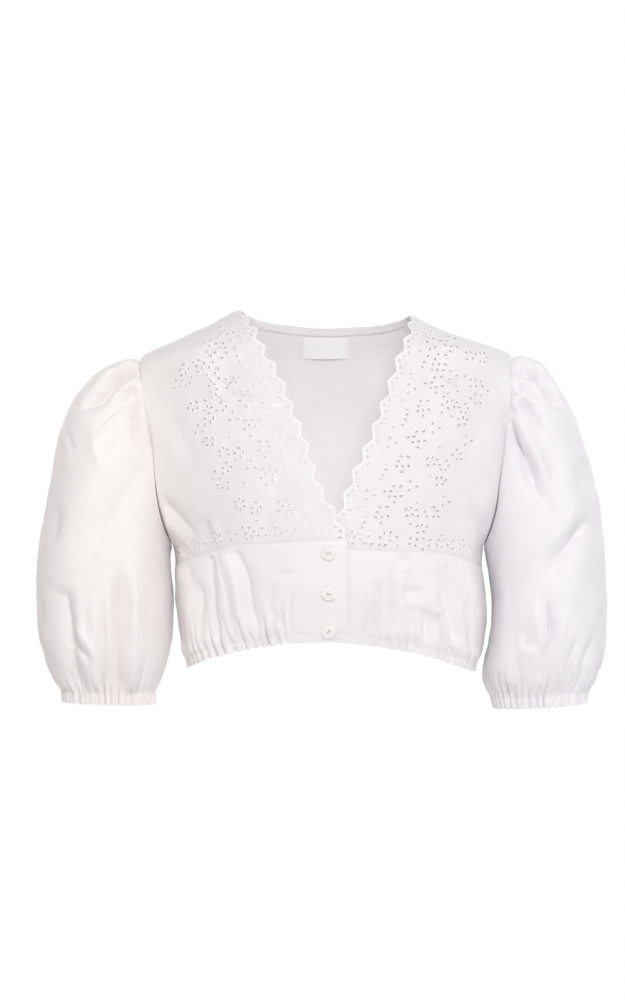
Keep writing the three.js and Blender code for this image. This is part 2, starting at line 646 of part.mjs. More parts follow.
function backSpots() {
  const rows = backRows();
  const lengths = [0];
  for (let i = 1; i < rows.length; i += 1) {
    const [before, after] = [rows[i - 1], rows[i]].map((row) => {
      const [x, z] = backEdge('left', row);
      return new THREE.Vector3(x, row.low ? 0 : ARMHOLE_DEPTH.back * Math.sin(row.angle), z);
    });
    lengths.push(lengths[i - 1] + before.distanceTo(after));
  }
  const place = patch(
    backHemPlace, backTop, (row) => backEdge('right', rows[row]), (row) => backEdge('left', rows[row]),
  );
  return rows.map((row, i) => {
    const fine = i <= BACK_FINE_ROWS ? 2 : 1;
    const columns = BACK_COLUMNS * fine;
    const up = lengths[i] / lengths[lengths.length - 1];
    return Array.from({ length: columns + 1 }, (_, j) => {
      const [x, z] = place(j / columns, up, i);
      const plain = j === 0 || j === columns;
      const wave = plain || fine === 1 ? 0 : (j % 2 ? 1 : -1) * unevenness(j / columns);
      const height = z - hem.back(x);
      const toSide = Math.min(j, columns - j) / columns;
      const clear = ramp(toSide, ...BACK_FOLD_FADE.side) * ramp(height, ...BACK_FOLD_FADE.hem);
      const gather = HEM_GATHER.height * wave * ramp(height, ...HEM_GATHER.back);
      const lift = gather - foldDepth(BODY_FOLDS, 'back', x, z) * clear;
      const spot = bodySpot(x, z, 'back', { lift: plain ? 0 : lift });
      const side = j === 0 ? 'right' : 'left';
      if (plain && row.low === 0) {
        const rim = armholeRim(side, 'back', row.angle);
        spot.point.copy(rim.point).setX(rim.point.x - sideSign[side] * SEAM_GAP / 2);
        spot.normal.copy(turnedNormal(rim, side, 1));
      }
      const onSideSeam = plain && (row.low > 0 || row.angle === Math.PI);
      const onShoulder = i === rows.length - 1
        && (j <= BACK_SHOULDER_COLUMNS || j >= columns - BACK_SHOULDER_COLUMNS);
      if (onSideSeam || onShoulder) spot.point.y = SEAM_GAP / 2;
      return spot;
    });
  });
}

/** Back in one panel, with its hem casing, neck binding and label laid on the same points. */
function back() {
  const rows = backSpots();
  const hemRow = rows[0];
  const along = rows[1].map((spot, j) => {
    const height = spot.point.distanceTo(hemRow[j].point);
    return Math.min(HEM_CASING_HEIGHT / height, HEM_CASING_SHARE);
  });
  const seamRow = hemRow.map((spot, j) => ({
    point: spot.point.clone().lerp(rows[1][j].point, along[j]),
    normal: spot.normal.clone().lerp(rows[1][j].normal, along[j]).normalize(),
    thickness: CLOTH,
  }));
  const moved = (way) => seamRow.map((spot) => ({
    ...spot, point: slide(spot.point, spot.normal, UP, way * SEAM_GAP / 2),
  }));
  addPiece('back_panel', wall([moved(1), ...rows.slice(1)]));
  addPiece('hem_casing_back', wall([
    hemRow.map((spot) => ({ ...spot, thickness: CASING })), moved(-1),
  ]));
  backNeckBinding(rows);
}

/** Strip along the inside of the back neck, laid on the back's own points. */
function backNeckBinding(rows) {
  const { inset, width, reach } = BINDING;
  const laid = -(CLOTH + BINDING_CLOTH) / 2 - LAID_GAP;
  const columns = rows[rows.length - 1].map((_, j) => j).filter((j) => (
    Math.abs(rows[rows.length - 1][j].point.x) < reach
  ));
  const strips = [inset, inset + width / 2, inset + width];
  const spots = strips.map((distance) => columns.map((j) => {
    let left = distance;
    let i = rows.length - 1;
    while (left > rows[i][j].point.distanceTo(rows[i - 1][j].point)) {
      left -= rows[i][j].point.distanceTo(rows[i - 1][j].point);
      i -= 1;
    }
    const [from, to] = [rows[i][j], rows[i - 1][j]];
    const share = left / from.point.distanceTo(to.point);
    const normal = from.normal.clone().lerp(to.normal, share).normalize();
    const point = from.point.clone().lerp(to.point, share).addScaledVector(normal, laid);
    return { point, normal, thickness: BINDING_CLOTH };
  }));
  addPiece('back_neck_binding', wall(spots));
}

/** Bare satin label on the inside of the back, below the binding. */
function neckLabel() {
  const lift = -(CLOTH + LABEL_CLOTH) / 2 - LAID_GAP;
  const rows = steps(LABEL.rows, (down) => steps(LABEL.columns, (across) => bodySpot(
    mix(LABEL.left, LABEL.right, across), mix(LABEL.top, LABEL.bottom, down), 'back',
    { lift, thickness: LABEL_CLOTH },
  )));
  addPiece('neck_label', wall(rows), SATIN);
}

const ringCurves = bothSides((side) => Object.fromEntries(SLEEVE_RING.map((name) => [
  name, curve(SLEEVES[side].map((row, ring) => ({ ...row, ring })), 'ring', name),
])));

/** The sleeve's smooth surface at a ring and an angle from its outer point, front side positive. */
function sleevePoint(side, ring, angle) {
  const at = (name, r) => ringCurves[side][name](r);
  const face = Math.sin(angle) >= 0 ? 'front' : 'back';
  const ellipse = (r) => new THREE.Vector3(
    mix(at('inX', r), at('outX', r), 0.5 + 0.5 * Math.cos(angle)),
    FACE_SIGN[face] * at(face, r) * Math.abs(Math.sin(angle)),
    mix(at('inZ', r), at('outZ', r), 0.5 + 0.5 * Math.cos(angle)),
  );
  const rim = armholeRim(side, face, Math.abs(angle));
  const apart = SEAM_GAP / 2 + CLOTH * Math.sin(rim.turn);
  const seam = rim.point.clone().setX(rim.point.x + sideSign[side] * apart);
  const point = ellipse(ring);
  point.y += SLEEVE_MIDDLE.y * ramp(ring, ...SLEEVE_MIDDLE.rings);
  return point.add(seam.sub(ellipse(0)).multiplyScalar(ramp(ring, ...ARMHOLE_FIT_RINGS)));
}

function sleeveNormal(side, ring, angle) {
  if (ring === 0) {
    const face = Math.sin(angle) >= 0 ? 'front' : 'back';
    return turnedNormal(armholeRim(side, face, Math.abs(angle)), side, -1);
  }
  const step = 0.01;
  const down = sleevePoint(side, ring + step, angle).sub(sleevePoint(side, ring - step, angle));
  const round = sleevePoint(side, ring, angle + step).sub(sleevePoint(side, ring, angle - step));
  return round.cross(down).multiplyScalar(sideSign[side]).normalize();
}

/** Pleats at the sleeve cap and gathers at the cuff, one column for each ridge and trough. */
function sleeveSpot(side, ring, column, thickness = CLOTH) {
  const angle = (2 * Math.PI * column) / SLEEVE_COLUMNS - Math.PI;
  const point = sleevePoint(side, ring, angle);
  const normal = sleeveNormal(side, ring, angle);
  const ridge = column % 2 ? 1 : -1;
  const share = column / SLEEVE_COLUMNS;
  const { start, end } = CAP_PLEAT;
  const capAround = ramp(Math.abs(angle), ...CAP_PLEAT.angle.map(radians));
  const cap = CAP_PLEAT.height * capAround * ramp(ring, ...start) * ramp(ring, ...end);
  const inCasing = ring > CUFF_RING ? CUFF_GATHER.inCasing : 1;
  const cuff = CUFF_GATHER.height * ramp(ring, ...CUFF_GATHER.rings) * inCasing;
  const face = Math.sin(angle) >= 0 ? 'front' : 'back';
  const fade = SLEEVE_FOLD_FADE;
  const clear = ramp(Math.cos(angle), ...fade.underarm) * ramp(ring, ...fade.cuff) * ramp(ring, ...fade.cap);
  const fold = foldDepth(SLEEVE_FOLDS, face, point.x, point.z) * clear;
  point.addScaledVector(normal, ridge * (cap + cuff) * unevenness(share) - fold);
  return { point, normal, thickness };
}

/** Puff sleeve from the pleated cap to the elastic cuff casing. */
function sleeve(side) {
  const columns = Array.from({ length: SLEEVE_COLUMNS }, (_, column) => column);
  const nudge = (spots, way) => spots.map((spot) => ({
    ...spot, point: slide(spot.point, spot.normal, UP, way * SEAM_GAP / 2),
  }));
  const sleeveRows = SLEEVE_ROWS.map((ring) => columns.map((c) => sleeveSpot(side, ring, c)));
  sleeveRows.push(nudge(sleeveRows.pop(), 1));
  const cuffRows = CUFF_ROWS.map((ring, i) => (
    columns.map((c) => sleeveSpot(side, ring, c, i === 0 ? CLOTH : CASING))
  ));
  cuffRows[0] = nudge(cuffRows[0], -1);
  addPiece(`sleeve_${side}`, wall(sleeveRows, true));
  addPiece(`cuff_casing_${side}`, wall(cuffRows, true));
}

/** Round pearl button with a raised rim, on the outer face of the lapped front. */
function button(name, z) {
  const { radius, thickness, edge, rim, dish, sides } = BUTTON;
  const profile = [
    [0, 0], [radius - edge, 0], [radius, edge], [radius, thickness - edge], [radius - edge, thickness],
    [radius - rim, thickness], [radius - rim - dish, thickness - dish], [0, thickness - dish],
  ].map(([across, up]) => new THREE.Vector2(across, up));
  const geometry = new THREE.LatheGeometry(profile, sides);
  const { point, normal } = bodySpot(0, z, 'front', { lap: 1 });
  const mesh = addPiece(`button_${name}`, geometry, PEARL);
  mesh.quaternion.setFromUnitVectors(new THREE.Vector3(0, 1, 0), normal);
  mesh.position.copy(point).addScaledVector(normal, CLOTH / 2 + SEAM_GAP);
}

for (const side of ['right', 'left']) {
  addPiece(`front_${side}_upper`, upperFront(side));
  lowerFronts(side);
  sleeve(side);
}
back();
neckLabel();
for (const [name, z] of Object.entries(BUTTON_HEIGHTS)) button(name, z);

export default blouse;
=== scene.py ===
"""A white cotton dirndl blouse in the shape that it has when it is worn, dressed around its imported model.

Lengths are in millimetres until a mesh is made. The front faces -Y and +X is the wearer's left. The
origin is in the middle of the neck, level with the shoulder ridges.
"""

from __future__ import annotations

import logging
import math
from dataclasses import dataclass, field
from enum import Enum
from typing import Any, Callable, Sequence

import bmesh
import bpy
import numpy as np
from mathutils import Matrix, Vector
from mathutils.geometry import delaunay_2d_cdt


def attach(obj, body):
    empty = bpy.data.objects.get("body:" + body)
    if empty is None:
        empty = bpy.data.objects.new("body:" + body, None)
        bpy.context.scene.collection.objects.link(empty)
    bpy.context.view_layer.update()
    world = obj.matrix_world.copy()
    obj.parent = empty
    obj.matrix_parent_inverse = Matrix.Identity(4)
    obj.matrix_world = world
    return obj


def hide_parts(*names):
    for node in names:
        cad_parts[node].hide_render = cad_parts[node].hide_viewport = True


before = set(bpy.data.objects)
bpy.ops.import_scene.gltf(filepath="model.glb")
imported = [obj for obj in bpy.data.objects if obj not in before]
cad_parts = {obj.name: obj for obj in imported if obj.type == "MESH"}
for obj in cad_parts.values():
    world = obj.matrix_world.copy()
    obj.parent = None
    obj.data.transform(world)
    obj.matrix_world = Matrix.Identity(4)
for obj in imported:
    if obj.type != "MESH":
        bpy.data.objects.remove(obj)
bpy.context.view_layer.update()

Array = np.ndarray
Rows = tuple[tuple[float, ...], ...]
Span = tuple[float, float]
Colour = tuple[float, float, float, float]

MM = 0.001
BODY = "root"

# How far cloth stays off an armhole's rim, and front and back off the middle of the side seam
RIM_GAP = 0.05
SEAM_GAP = 0.03

log = logging.getLogger("blouse")


class Side(Enum):
    """The wearer's side of a piece, with the sign of its X."""

    RIGHT = -1
    LEFT = 1


class Face(Enum):
    """Front or back of the blouse, with the sign of its Y."""

    FRONT = -1
    BACK = 1


class Slot(Enum):
    """The record's material slots."""

    COTTON = "cotton"
    EYELET = "eyelet_cotton"
    PEARL = "pearl_button"
    SATIN = "label_satin"


def ramp(value: Array | float, limits: Sequence[float]) -> Array:
    """Returns a smooth rise from 0 at the first limit to 1 at the second."""
    share = np.clip((np.asarray(value, float) - limits[0]) / (limits[1] - limits[0]), 0, 1)
    return share * share * (3 - 2 * share)


def mix(first: Any, second: Any, share: Any) -> Any:
    """Returns the blend of two values at a share."""
    return first + (second - first) * share


def unit(vectors: Array) -> Array:
    """Returns vectors at length 1."""
    length = np.linalg.norm(vectors, axis=-1, keepdims=True)
    return vectors / np.maximum(length, 1e-9)


def run_lengths(points: Array, axis: int = 0) -> Array:
    """Returns the length run along one axis of a grid of points, from its first point."""
    step = np.linalg.norm(np.diff(points, axis=axis), axis=-1)
    start = np.zeros_like(np.take(step, [0], axis=axis))
    return np.concatenate([start, np.cumsum(step, axis=axis)], axis=axis)


def follow(goal: Array | float, run: Array, values: Array) -> Array:
    """Returns rows of values at goals along a run, between the rows that are known."""
    return np.stack([np.interp(goal, run, column) for column in values.T], axis=-1)


def at_lengths(points: Array, shares: Array) -> Array:
    """Returns places at shares of the length of a line of points."""
    run = run_lengths(points)
    return follow(np.asarray(shares) * run[-1], run, points)


def to_line(places: Array, line: Array) -> Array:
    """Returns the distance of each flat place to a line of flat points."""
    nearest = np.full(len(places), np.inf)
    for start, end in zip(line[:-1], line[1:]):
        along = end - start
        share = np.clip(((places - start) @ along) / max(along @ along, 1e-9), 0, 1)
        away = np.linalg.norm(places - start - share[:, None] * along, axis=1)
        nearest = np.minimum(nearest, away)
    return nearest


def closed(line: Array) -> Array:
    """Returns a line of points that ends where it starts."""
    return np.concatenate([line, line[:1]])


def inside(places: Array, outline: Array) -> Array:
    """Returns which flat places lie inside a closed outline."""
    hits = np.zeros(len(places), bool)
    ends = np.roll(outline, -1, axis=0)
    for (x1, y1), (x2, y2) in zip(outline, ends):
        crosses = (y1 > places[:, 1]) != (y2 > places[:, 1])
        reach = (x2 - x1) * (places[:, 1] - y1) / ((y2 - y1) or 1e-9) + x1
        hits ^= crosses & (places[:, 0] < reach)
    return hits


@dataclass(frozen=True)
class Curve:
    """A smooth curve through a table's points that doesn't overshoot and runs straight past its ends."""

    points: Rows

    def __call__(self, at: Array | float) -> Array:
        """Returns the curve's values at places along it."""
        places, values = np.array(sorted(self.points), float).T
        secants = np.diff(values) / np.diff(places)
        slopes = np.empty_like(values)
        slopes[0], slopes[-1] = secants[0], secants[-1]
        before, after = secants[:-1], secants[1:]
        total = np.where(before + after == 0, 1, before + after)
        slopes[1:-1] = np.where(before * after > 0, 2 * before * after / total, 0)
        t = np.asarray(at, float)
        i = np.clip(np.searchsorted(places, t, side="left") - 1, 0, len(places) - 2)
        width = places[i + 1] - places[i]
        s = (t - places[i]) / width
        start = (1 + 2 * s) * (1 - s) ** 2 * values[i] + s * (1 - s) ** 2 * width * slopes[i]
        end = s * s * (3 - 2 * s) * values[i + 1] + s * s * (s - 1) * width * slopes[i + 1]
        curve = np.where(t < places[0], values[0] + slopes[0] * (t - places[0]), start + end)
        return np.where(t > places[-1], values[-1] + slopes[-1] * (t - places[-1]), curve)


@dataclass(frozen=True)
class Armhole:
    """One armhole: the heights of its top and bottom, and its depth to the front and the back."""

    top: float
    bottom: float
    depth: Span = (42, 46)
    turn_angle: float = 90
    turn_range: Span = (85, 150)

    def reach(self, face: Face) -> float:
        """Returns the armhole's depth to a face."""
        return self.depth[0] if face is Face.FRONT else self.depth[1]

    def turn(self, angle: Array) -> Array:
        """Returns how far the walls of body and sleeve turn apart towards the underarm, in radians."""
        return math.radians(self.turn_angle) * ramp(np.degrees(angle), self.turn_range)


@dataclass(frozen=True)
class BodyForm:
    """The surface that the worn blouse follows: half widths, depths and how square its sections are."""

    right_outline: Curve = Curve((
        (6.6, 95), (0, 110), (-10, 127), (-20.5, 150), (-31, 174), (-42, 197), (-48.6, 203),
        (-79, 199), (-107, 193), (-143, 187), (-173, 184.5), (-205, 180), (-228, 174), (-247.3, 167),
        (-264, 164.4), (-280, 164.4), (-300, 164), (-325, 162), (-352, 158), (-370, 153),
        (-379, 150.5),
    ))
    left_outline: Curve = Curve((
        (0.3, 89), (-3, 97), (-9.7, 110), (-20.5, 135), (-31.3, 170), (-40, 193), (-45.4, 198),
        (-82, 196), (-107, 193), (-131, 189.6), (-173, 183), (-205, 179), (-230, 173), (-249, 167),
        (-264, 165.6), (-280, 167), (-300, 170), (-325, 171), (-352, 167.5), (-370, 161), (-383, 157),
    ))
    front_depth: Curve = Curve((
        (7, 38), (0, 46), (-10, 54), (-32, 66), (-50, 73), (-80, 84), (-110, 94), (-140, 102),
        (-175, 111), (-213, 119), (-245, 123), (-280, 120), (-310, 113), (-335, 105), (-352, 99),
        (-385, 92),
    ))
    back_depth: Curve = Curve((
        (8, 40), (-10, 50), (-21, 56), (-32, 62), (-46, 69), (-79, 80), (-107, 88), (-143, 95),
        (-173, 98), (-213, 99), (-250, 97), (-280, 95), (-300, 92), (-325, 88), (-352, 84),
        (-370, 81), (-385, 79),
    ))
    roll: Curve = Curve((
        (0, 0.5), (-49, 0.55), (-79, 0.8), (-107, 0.95), (-143, 1), (-173, 0.93), (-205, 0.78),
        (-235, 0.64), (-262, 0.55), (-290, 0.5), (-385, 0.5),
    ))
    right_armhole: Armhole = Armhole(-48.6, -247.3)
    left_armhole: Armhole = Armhole(-45.4, -249)
    squareness: float = 2.2
    armhole_fade: float = 16
    armhole_softness: float = 1.5
    lap_lift: float = 1.05
    lap_across: Span = (70, 32)
    lap_down: Span = (-165, -197)

    def outline(self, side: Side) -> Curve:
        """Returns the half width of a side at each height."""
        return self.right_outline if side is Side.RIGHT else self.left_outline

    def armhole(self, side: Side) -> Armhole:
        """Returns the armhole of a side."""
        return self.right_armhole if side is Side.RIGHT else self.left_armhole

    def half_width(self, x: Array, z: Array) -> Array:
        """Returns the half width at heights, on the side that each place lies on."""
        return np.where(np.asarray(x) < 0, self.right_outline(z), self.left_outline(z))

    def middle(self, z: Array, face: Face) -> Array:
        """Returns the depth in the middle of a face."""
        return self.front_depth(z) if face is Face.FRONT else self.back_depth(z)

    def arm(self, x: Array, z: Array, face: Face, share: Array) -> Array:
        """Returns the depth that the armhole gives the cloth at a share of the half width."""
        depths = []
        for side in (Side.RIGHT, Side.LEFT):
            hole = self.armhole(side)
            t = np.clip((2 * z - hole.top - hole.bottom) / (hole.top - hole.bottom), -1, 1)
            rim = hole.reach(face) * np.sqrt(1 - t * t)
            near = hole.reach(face) * (1 - t * t) ** self.armhole_softness
            depths.append(mix(near, rim, share ** self.armhole_fade))
        return np.where(np.asarray(x) < 0, depths[0], depths[1])

    def depth(self, x: Array, z: Array, face: Face) -> Array:
        """Returns the depth of the surface at places seen from the front."""
        share = np.minimum(np.abs(x) / self.half_width(x, z), 1)
        arm = self.arm(x, z, face, share)
        rise = (1 - share ** self.squareness) ** self.roll(z)
        return arm + (self.middle(z, face) - arm) * rise

    def outside(self, points: Array, face: Face) -> Array:
        """Returns how far points lie outside the surface, as a number that is 0 on it."""
        x, y, z = points[..., 0], points[..., 1], points[..., 2]
        share = np.abs(x) / self.half_width(x, z)
        arm = self.arm(x, z, face, np.minimum(share, 1))
        rise = (face.value * y - arm) / (self.middle(z, face) - arm)
        bent = np.sign(rise) * np.abs(rise) ** (1 / self.roll(z))
        return bent + share ** self.squareness - 1

    def normal(self, points: Array, face: Face, step: float = 0.02) -> Array:
        """Returns the outward direction of the surface at points."""
        slopes = []
        for axis in range(3):
            shift = np.zeros(3)
            shift[axis] = step
            slopes.append(self.outside(points + shift, face) - self.outside(points - shift, face))
        return unit(np.stack(slopes, axis=-1))

    def place(self, x: Array, z: Array, face: Face, lap: float = 0) -> tuple[Array, Array]:
        """Puts places seen from the front onto the surface.

        Args:
            x: how far to the wearer's left each place lies.
            z: the height of each place.
            face: front or back.
            lap: 1 for the upper layer of the lapped front, -1 for the lower one.

        Returns:
            The points and their outward directions.
        """
        x, z = np.broadcast_arrays(np.asarray(x, float), np.asarray(z, float))
        points = np.stack([x, face.value * self.depth(x, z, face), z], axis=-1)
        normals = self.normal(points, face)
        lapped = ramp(np.abs(x), self.lap_across) * ramp(z, self.lap_down)
        return points + normals * (lap * self.lap_lift * lapped)[..., None], normals

    def rim(self, side: Side, face: Face, angle: Array) -> tuple[Array, Array, Array]:
        """Returns the armhole's rim at angles from its top, its outward directions and their turn."""
        hole = self.armhole(side)
        half = (hole.top - hole.bottom) / 2
        z = (hole.top + hole.bottom) / 2 + half * np.cos(angle)
        reach = hole.reach(face)
        points = np.stack([
            side.value * self.outline(side)(z), face.value * reach * np.sin(angle), z,
        ], axis=-1)
        radial = np.stack([
            np.zeros_like(z), face.value * np.sin(angle) / reach, np.cos(angle) / half,
        ], axis=-1)
        return points, unit(radial), hole.turn(angle)

    def turned(self, side: Side, radial: Array, turn: Array, towards: float) -> Array:
        """Returns the rim's outward directions, turned across the underarm."""
        across = np.zeros_like(radial)
        across[..., 0] = side.value * towards * np.sin(turn)
        return radial * np.cos(turn)[..., None] + across

    def shoulder(self, side: Side, shares: Array, samples: int = 60) -> Array:
        """Returns the shoulder ridge as X and Z, from the neck to the armhole, by length."""
        top = self.outline(side).points[0][0]
        z = np.linspace(top, self.armhole(side).top, samples + 1)
        ridge = np.stack([side.value * self.outline(side)(z), z], axis=-1)
        return at_lengths(ridge, shares)


FORM = BodyForm()


@dataclass(frozen=True)
class Crease:
    """A soft trough along a line of places seen from the front, with a bank beside it."""

    line: Rows
    depth: float
    width: float
    bank: float = 0.45
    ends: Span = (0.0, 0.0)
    sharpness: float = 1.35
    bank_place: float = 1.9

    def shift(self, x: Array, z: Array) -> Array:
        """Returns how far the crease moves cloth out at places, which is below 0 in its trough."""
        line = np.array(self.line, float)
        run = run_lengths(line)
        nearest = np.full(np.shape(x), np.inf)
        across = np.zeros(np.shape(x))
        along = np.zeros(np.shape(x))
        for i, (start, end) in enumerate(zip(line[:-1], line[1:])):
            dx, dz = end - start
            share = np.clip(((x - start[0]) * dx + (z - start[1]) * dz) / (dx * dx + dz * dz), 0, 1)
            away = np.hypot(x - start[0] - share * dx, z - start[1] - share * dz)
            turn = np.sign((x - start[0]) * dz - (z - start[1]) * dx)
            closer = away < nearest
            nearest = np.where(closer, away, nearest)
            across = np.where(closer, away * turn, across)
            along = np.where(closer, run[i] + share * (run[i + 1] - run[i]), along)
        share = along / run[-1]
        fade = mix(self.ends[0], 1, ramp(share, (0, 0.35))) * mix(self.ends[1], 1, ramp(share, (1, 0.6)))
        trough = np.exp(-(nearest / self.width) ** self.sharpness)
        past = across * np.sign(self.bank or 1) / self.width - self.bank_place
        bank = abs(self.bank) * np.exp(-past * past)
        return self.depth * fade * (bank - trough)


@dataclass(frozen=True)
class Gather:
    """A row of gathers along a seam, uneven in height, spacing and length."""

    height: float
    reach: tuple[float, float]
    seed: int
    ridge: float = 0.62
    ruching: float = 0.5
    puff: float = 1.4
    lift: float = 1.5
    crowd: float = 1.0
    sink: float = 0.5

    def shift(self, phase: Array, away: Array) -> Array:
        """Returns how far gathers move cloth out.

        Args:
            phase: the place along the seam, one for each gather.
            away: the distance from the seam.
        """
        phase = phase * self.crowd
        loose = waves(phase * 0.9, self.seed) * 0.22
        turned = np.abs(np.cos(np.pi * (phase + loose))) ** self.ridge * 2 - 1 - self.sink
        tall = 1 + 0.3 * waves(phase * 0.83, self.seed + 1)
        reach = mix(self.reach[0], self.reach[1], 0.5 + 0.5 * waves(phase * 1.7, self.seed + 2))
        fine = self.ruching * np.cos(2 * np.pi * (phase * 2.13 + loose)) * ramp(away, (self.reach[0], 0))
        puff = self.puff * np.exp(-((away - 11) / 7) ** 2)
        return self.height * turned * tall * ramp(away / np.maximum(reach, 1), (1, 0.08)) + fine + puff

    def scallop(self, phase: Array, share: Array) -> Array:
        """Returns how far the lower edge is drawn up between the gathers."""
        drawn = 1 - np.abs(np.cos(np.pi * phase * self.crowd)) ** self.ridge
        return self.lift * drawn * ramp(share, (0, 1))


def waves(place: Array, seed: int, count: int = 5) -> Array:
    """Returns smooth seeded unevenness along one direction, between about -1 and 1."""
    rng = np.random.default_rng(seed)
    total = np.zeros(np.shape(place))
    for rate, start in zip(rng.uniform(0.6, 2.6, count), rng.uniform(0, 2 * np.pi, count)):
        total += np.sin(rate * np.asarray(place) + start)
    return np.clip(total / math.sqrt(count * 1.2), -1, 1)


def ripple(points: Array, length: float, seed: int, count: int = 9) -> Array:
    """Returns a gentle seeded unevenness of cloth in space, with waves of about one length."""
    rng = np.random.default_rng(seed)
    total = np.zeros(points.shape[:-1])
    for _ in range(count):
        way = rng.normal(size=3)
        way *= 2 * np.pi / (np.linalg.norm(way) * length * rng.uniform(0.7, 1.5))
        bend = rng.uniform(0, 2 * np.pi)
        total += np.sin(points @ way + bend + 0.8 * np.sin(points @ way[::-1] * 0.6 + bend))
    return total / math.sqrt(count)


def link(name: str, data: bpy.types.ID) -> bpy.types.Object:
    """Returns a new object at the origin, unturned, in the scene."""
    made = bpy.data.objects.new(name, data)
    bpy.context.scene.collection.objects.link(made)
    return made


@dataclass
class Cloth:
    """A sheet of cloth as middle points with outward directions, which becomes a thin wall."""

    points: Array
    normals: Array
    faces: Array
    corners: Array
    thickness: Array | float = 0.8
    marks: dict[str, Array] = field(default_factory=dict)

    def wall(self, name: str) -> bpy.types.Object:
        """Makes the wall, whose UV map holds the cloth's flat places in metres.

        Args:
            name: the piece's name.

        Returns:
            The new object, at the origin and unturned.
        """
        count = len(self.points)
        half = np.broadcast_to(np.asarray(self.thickness, float) / 2, (count,))[:, None]
        outer = self.points + self.normals * half
        inner = self.points - self.normals * half
        a, b, c = (self.points[self.faces[:, k]] for k in range(3))
        facing = np.einsum("ij,ij->i", np.cross(b - a, c - a), self.normals[self.faces[:, 0]])
        faces, corners = self.faces, self.corners
        if np.median(facing) < 0:
            faces, corners = faces[:, ::-1], corners[:, ::-1]
        back, back_corners = faces[:, ::-1] + count, corners[:, ::-1]
        edges: dict[tuple[int, int], tuple[Array, Array]] = {}
        for face, flat in zip(faces.tolist(), corners):
            for k, here in enumerate(face):
                edges[(here, face[(k + 1) % len(face)])] = (flat[k], flat[(k + 1) % len(face)])
        rims, rim_corners = [], []
        for (here, there), (flat_here, flat_there) in edges.items():
            if (there, here) not in edges:
                rims.append((there, here, here + count, there + count))
                rim_corners.append((flat_there, flat_here, flat_here, flat_there))
        mesh = bpy.data.meshes.new(name)
        polygons = faces.tolist() + back.tolist() + rims
        mesh.from_pydata((np.concatenate([outer, inner]) * MM).tolist(), [], polygons)
        places = np.concatenate([
            corners.reshape(-1, 2), back_corners.reshape(-1, 2), np.array(rim_corners).reshape(-1, 2),
        ])
        layer = mesh.uv_layers.new(name="cloth")
        layer.data.foreach_set("uv", (places * MM).ravel())
        for label, values in self.marks.items():
            mark = mesh.attributes.new(label, "FLOAT", "POINT")
            mark.data.foreach_set("value", np.tile(values, 2).astype(np.float32))
        mesh.update()
        mesh.shade_smooth()
        mesh.set_sharp_from_angle(angle=math.radians(60))
        return link(name, mesh)


def grid_cloth(points: Array, normals: Array, wraps: bool = False, thickness: Array | float = 0.8) -> Cloth:
    """Makes a sheet over a grid of points.

    Args:
        points: rows and columns of middle points.
        normals: their outward directions.
        wraps: whether the last column joins the first.
        thickness: one value, or one for each point.

    Returns:
        The sheet.
    """
    rows, columns = points.shape[:2]
    sheet = np.concatenate([points, points[:, :1]], axis=1) if wraps else points
    across = run_lengths(sheet, axis=1)
    across = across - across[:, -1:] / 2
    flat = np.stack([across, run_lengths(sheet, axis=0)], axis=-1)
    r, c = np.meshgrid(np.arange(rows - 1), np.arange(sheet.shape[1] - 1), indexing="ij")
    r, c = r.ravel(), c.ravel()
    steps = ((0, 0), (0, 1), (1, 1), (1, 0))
    faces = np.stack([(r + dr) * columns + (c + dc) % columns for dr, dc in steps], axis=-1)
    corners = np.stack([flat[r + dr, c + dc] for dr, dc in steps], axis=1)
    thick = np.broadcast_to(thickness, points.shape[:2]).ravel()
    return Cloth(points.reshape(-1, 3), normals.reshape(-1, 3), faces, corners, thick)


class Wire:
    """A socket of a material's nodes, with arithmetic that adds Math nodes."""

    def __init__(self, graph: "Graph", socket: bpy.types.NodeSocket) -> None:
        """Wraps an output socket of a graph's node."""
        self.graph = graph
        self.socket = socket

    def _math(self, operation: str, first: Any, second: Any) -> "Wire":
        """Adds one Math node."""
        return self.graph.node("ShaderNodeMath", {"operation": operation}, {0: first, 1: second})

    def __add__(self, other: Any) -> "Wire":
        """Adds a number or a socket."""
        return self._math("ADD", self, other)

    __radd__ = __add__

    def __sub__(self, other: Any) -> "Wire":
        """Subtracts a number or a socket."""
        return self._math("SUBTRACT", self, other)

    def __rsub__(self, other: Any) -> "Wire":
        """Subtracts this socket from a number."""
        return self._math("SUBTRACT", other, self)

    def __mul__(self, other: Any) -> "Wire":
        """Multiplies by a number or a socket."""
        return self._math("MULTIPLY", self, other)

    __rmul__ = __mul__


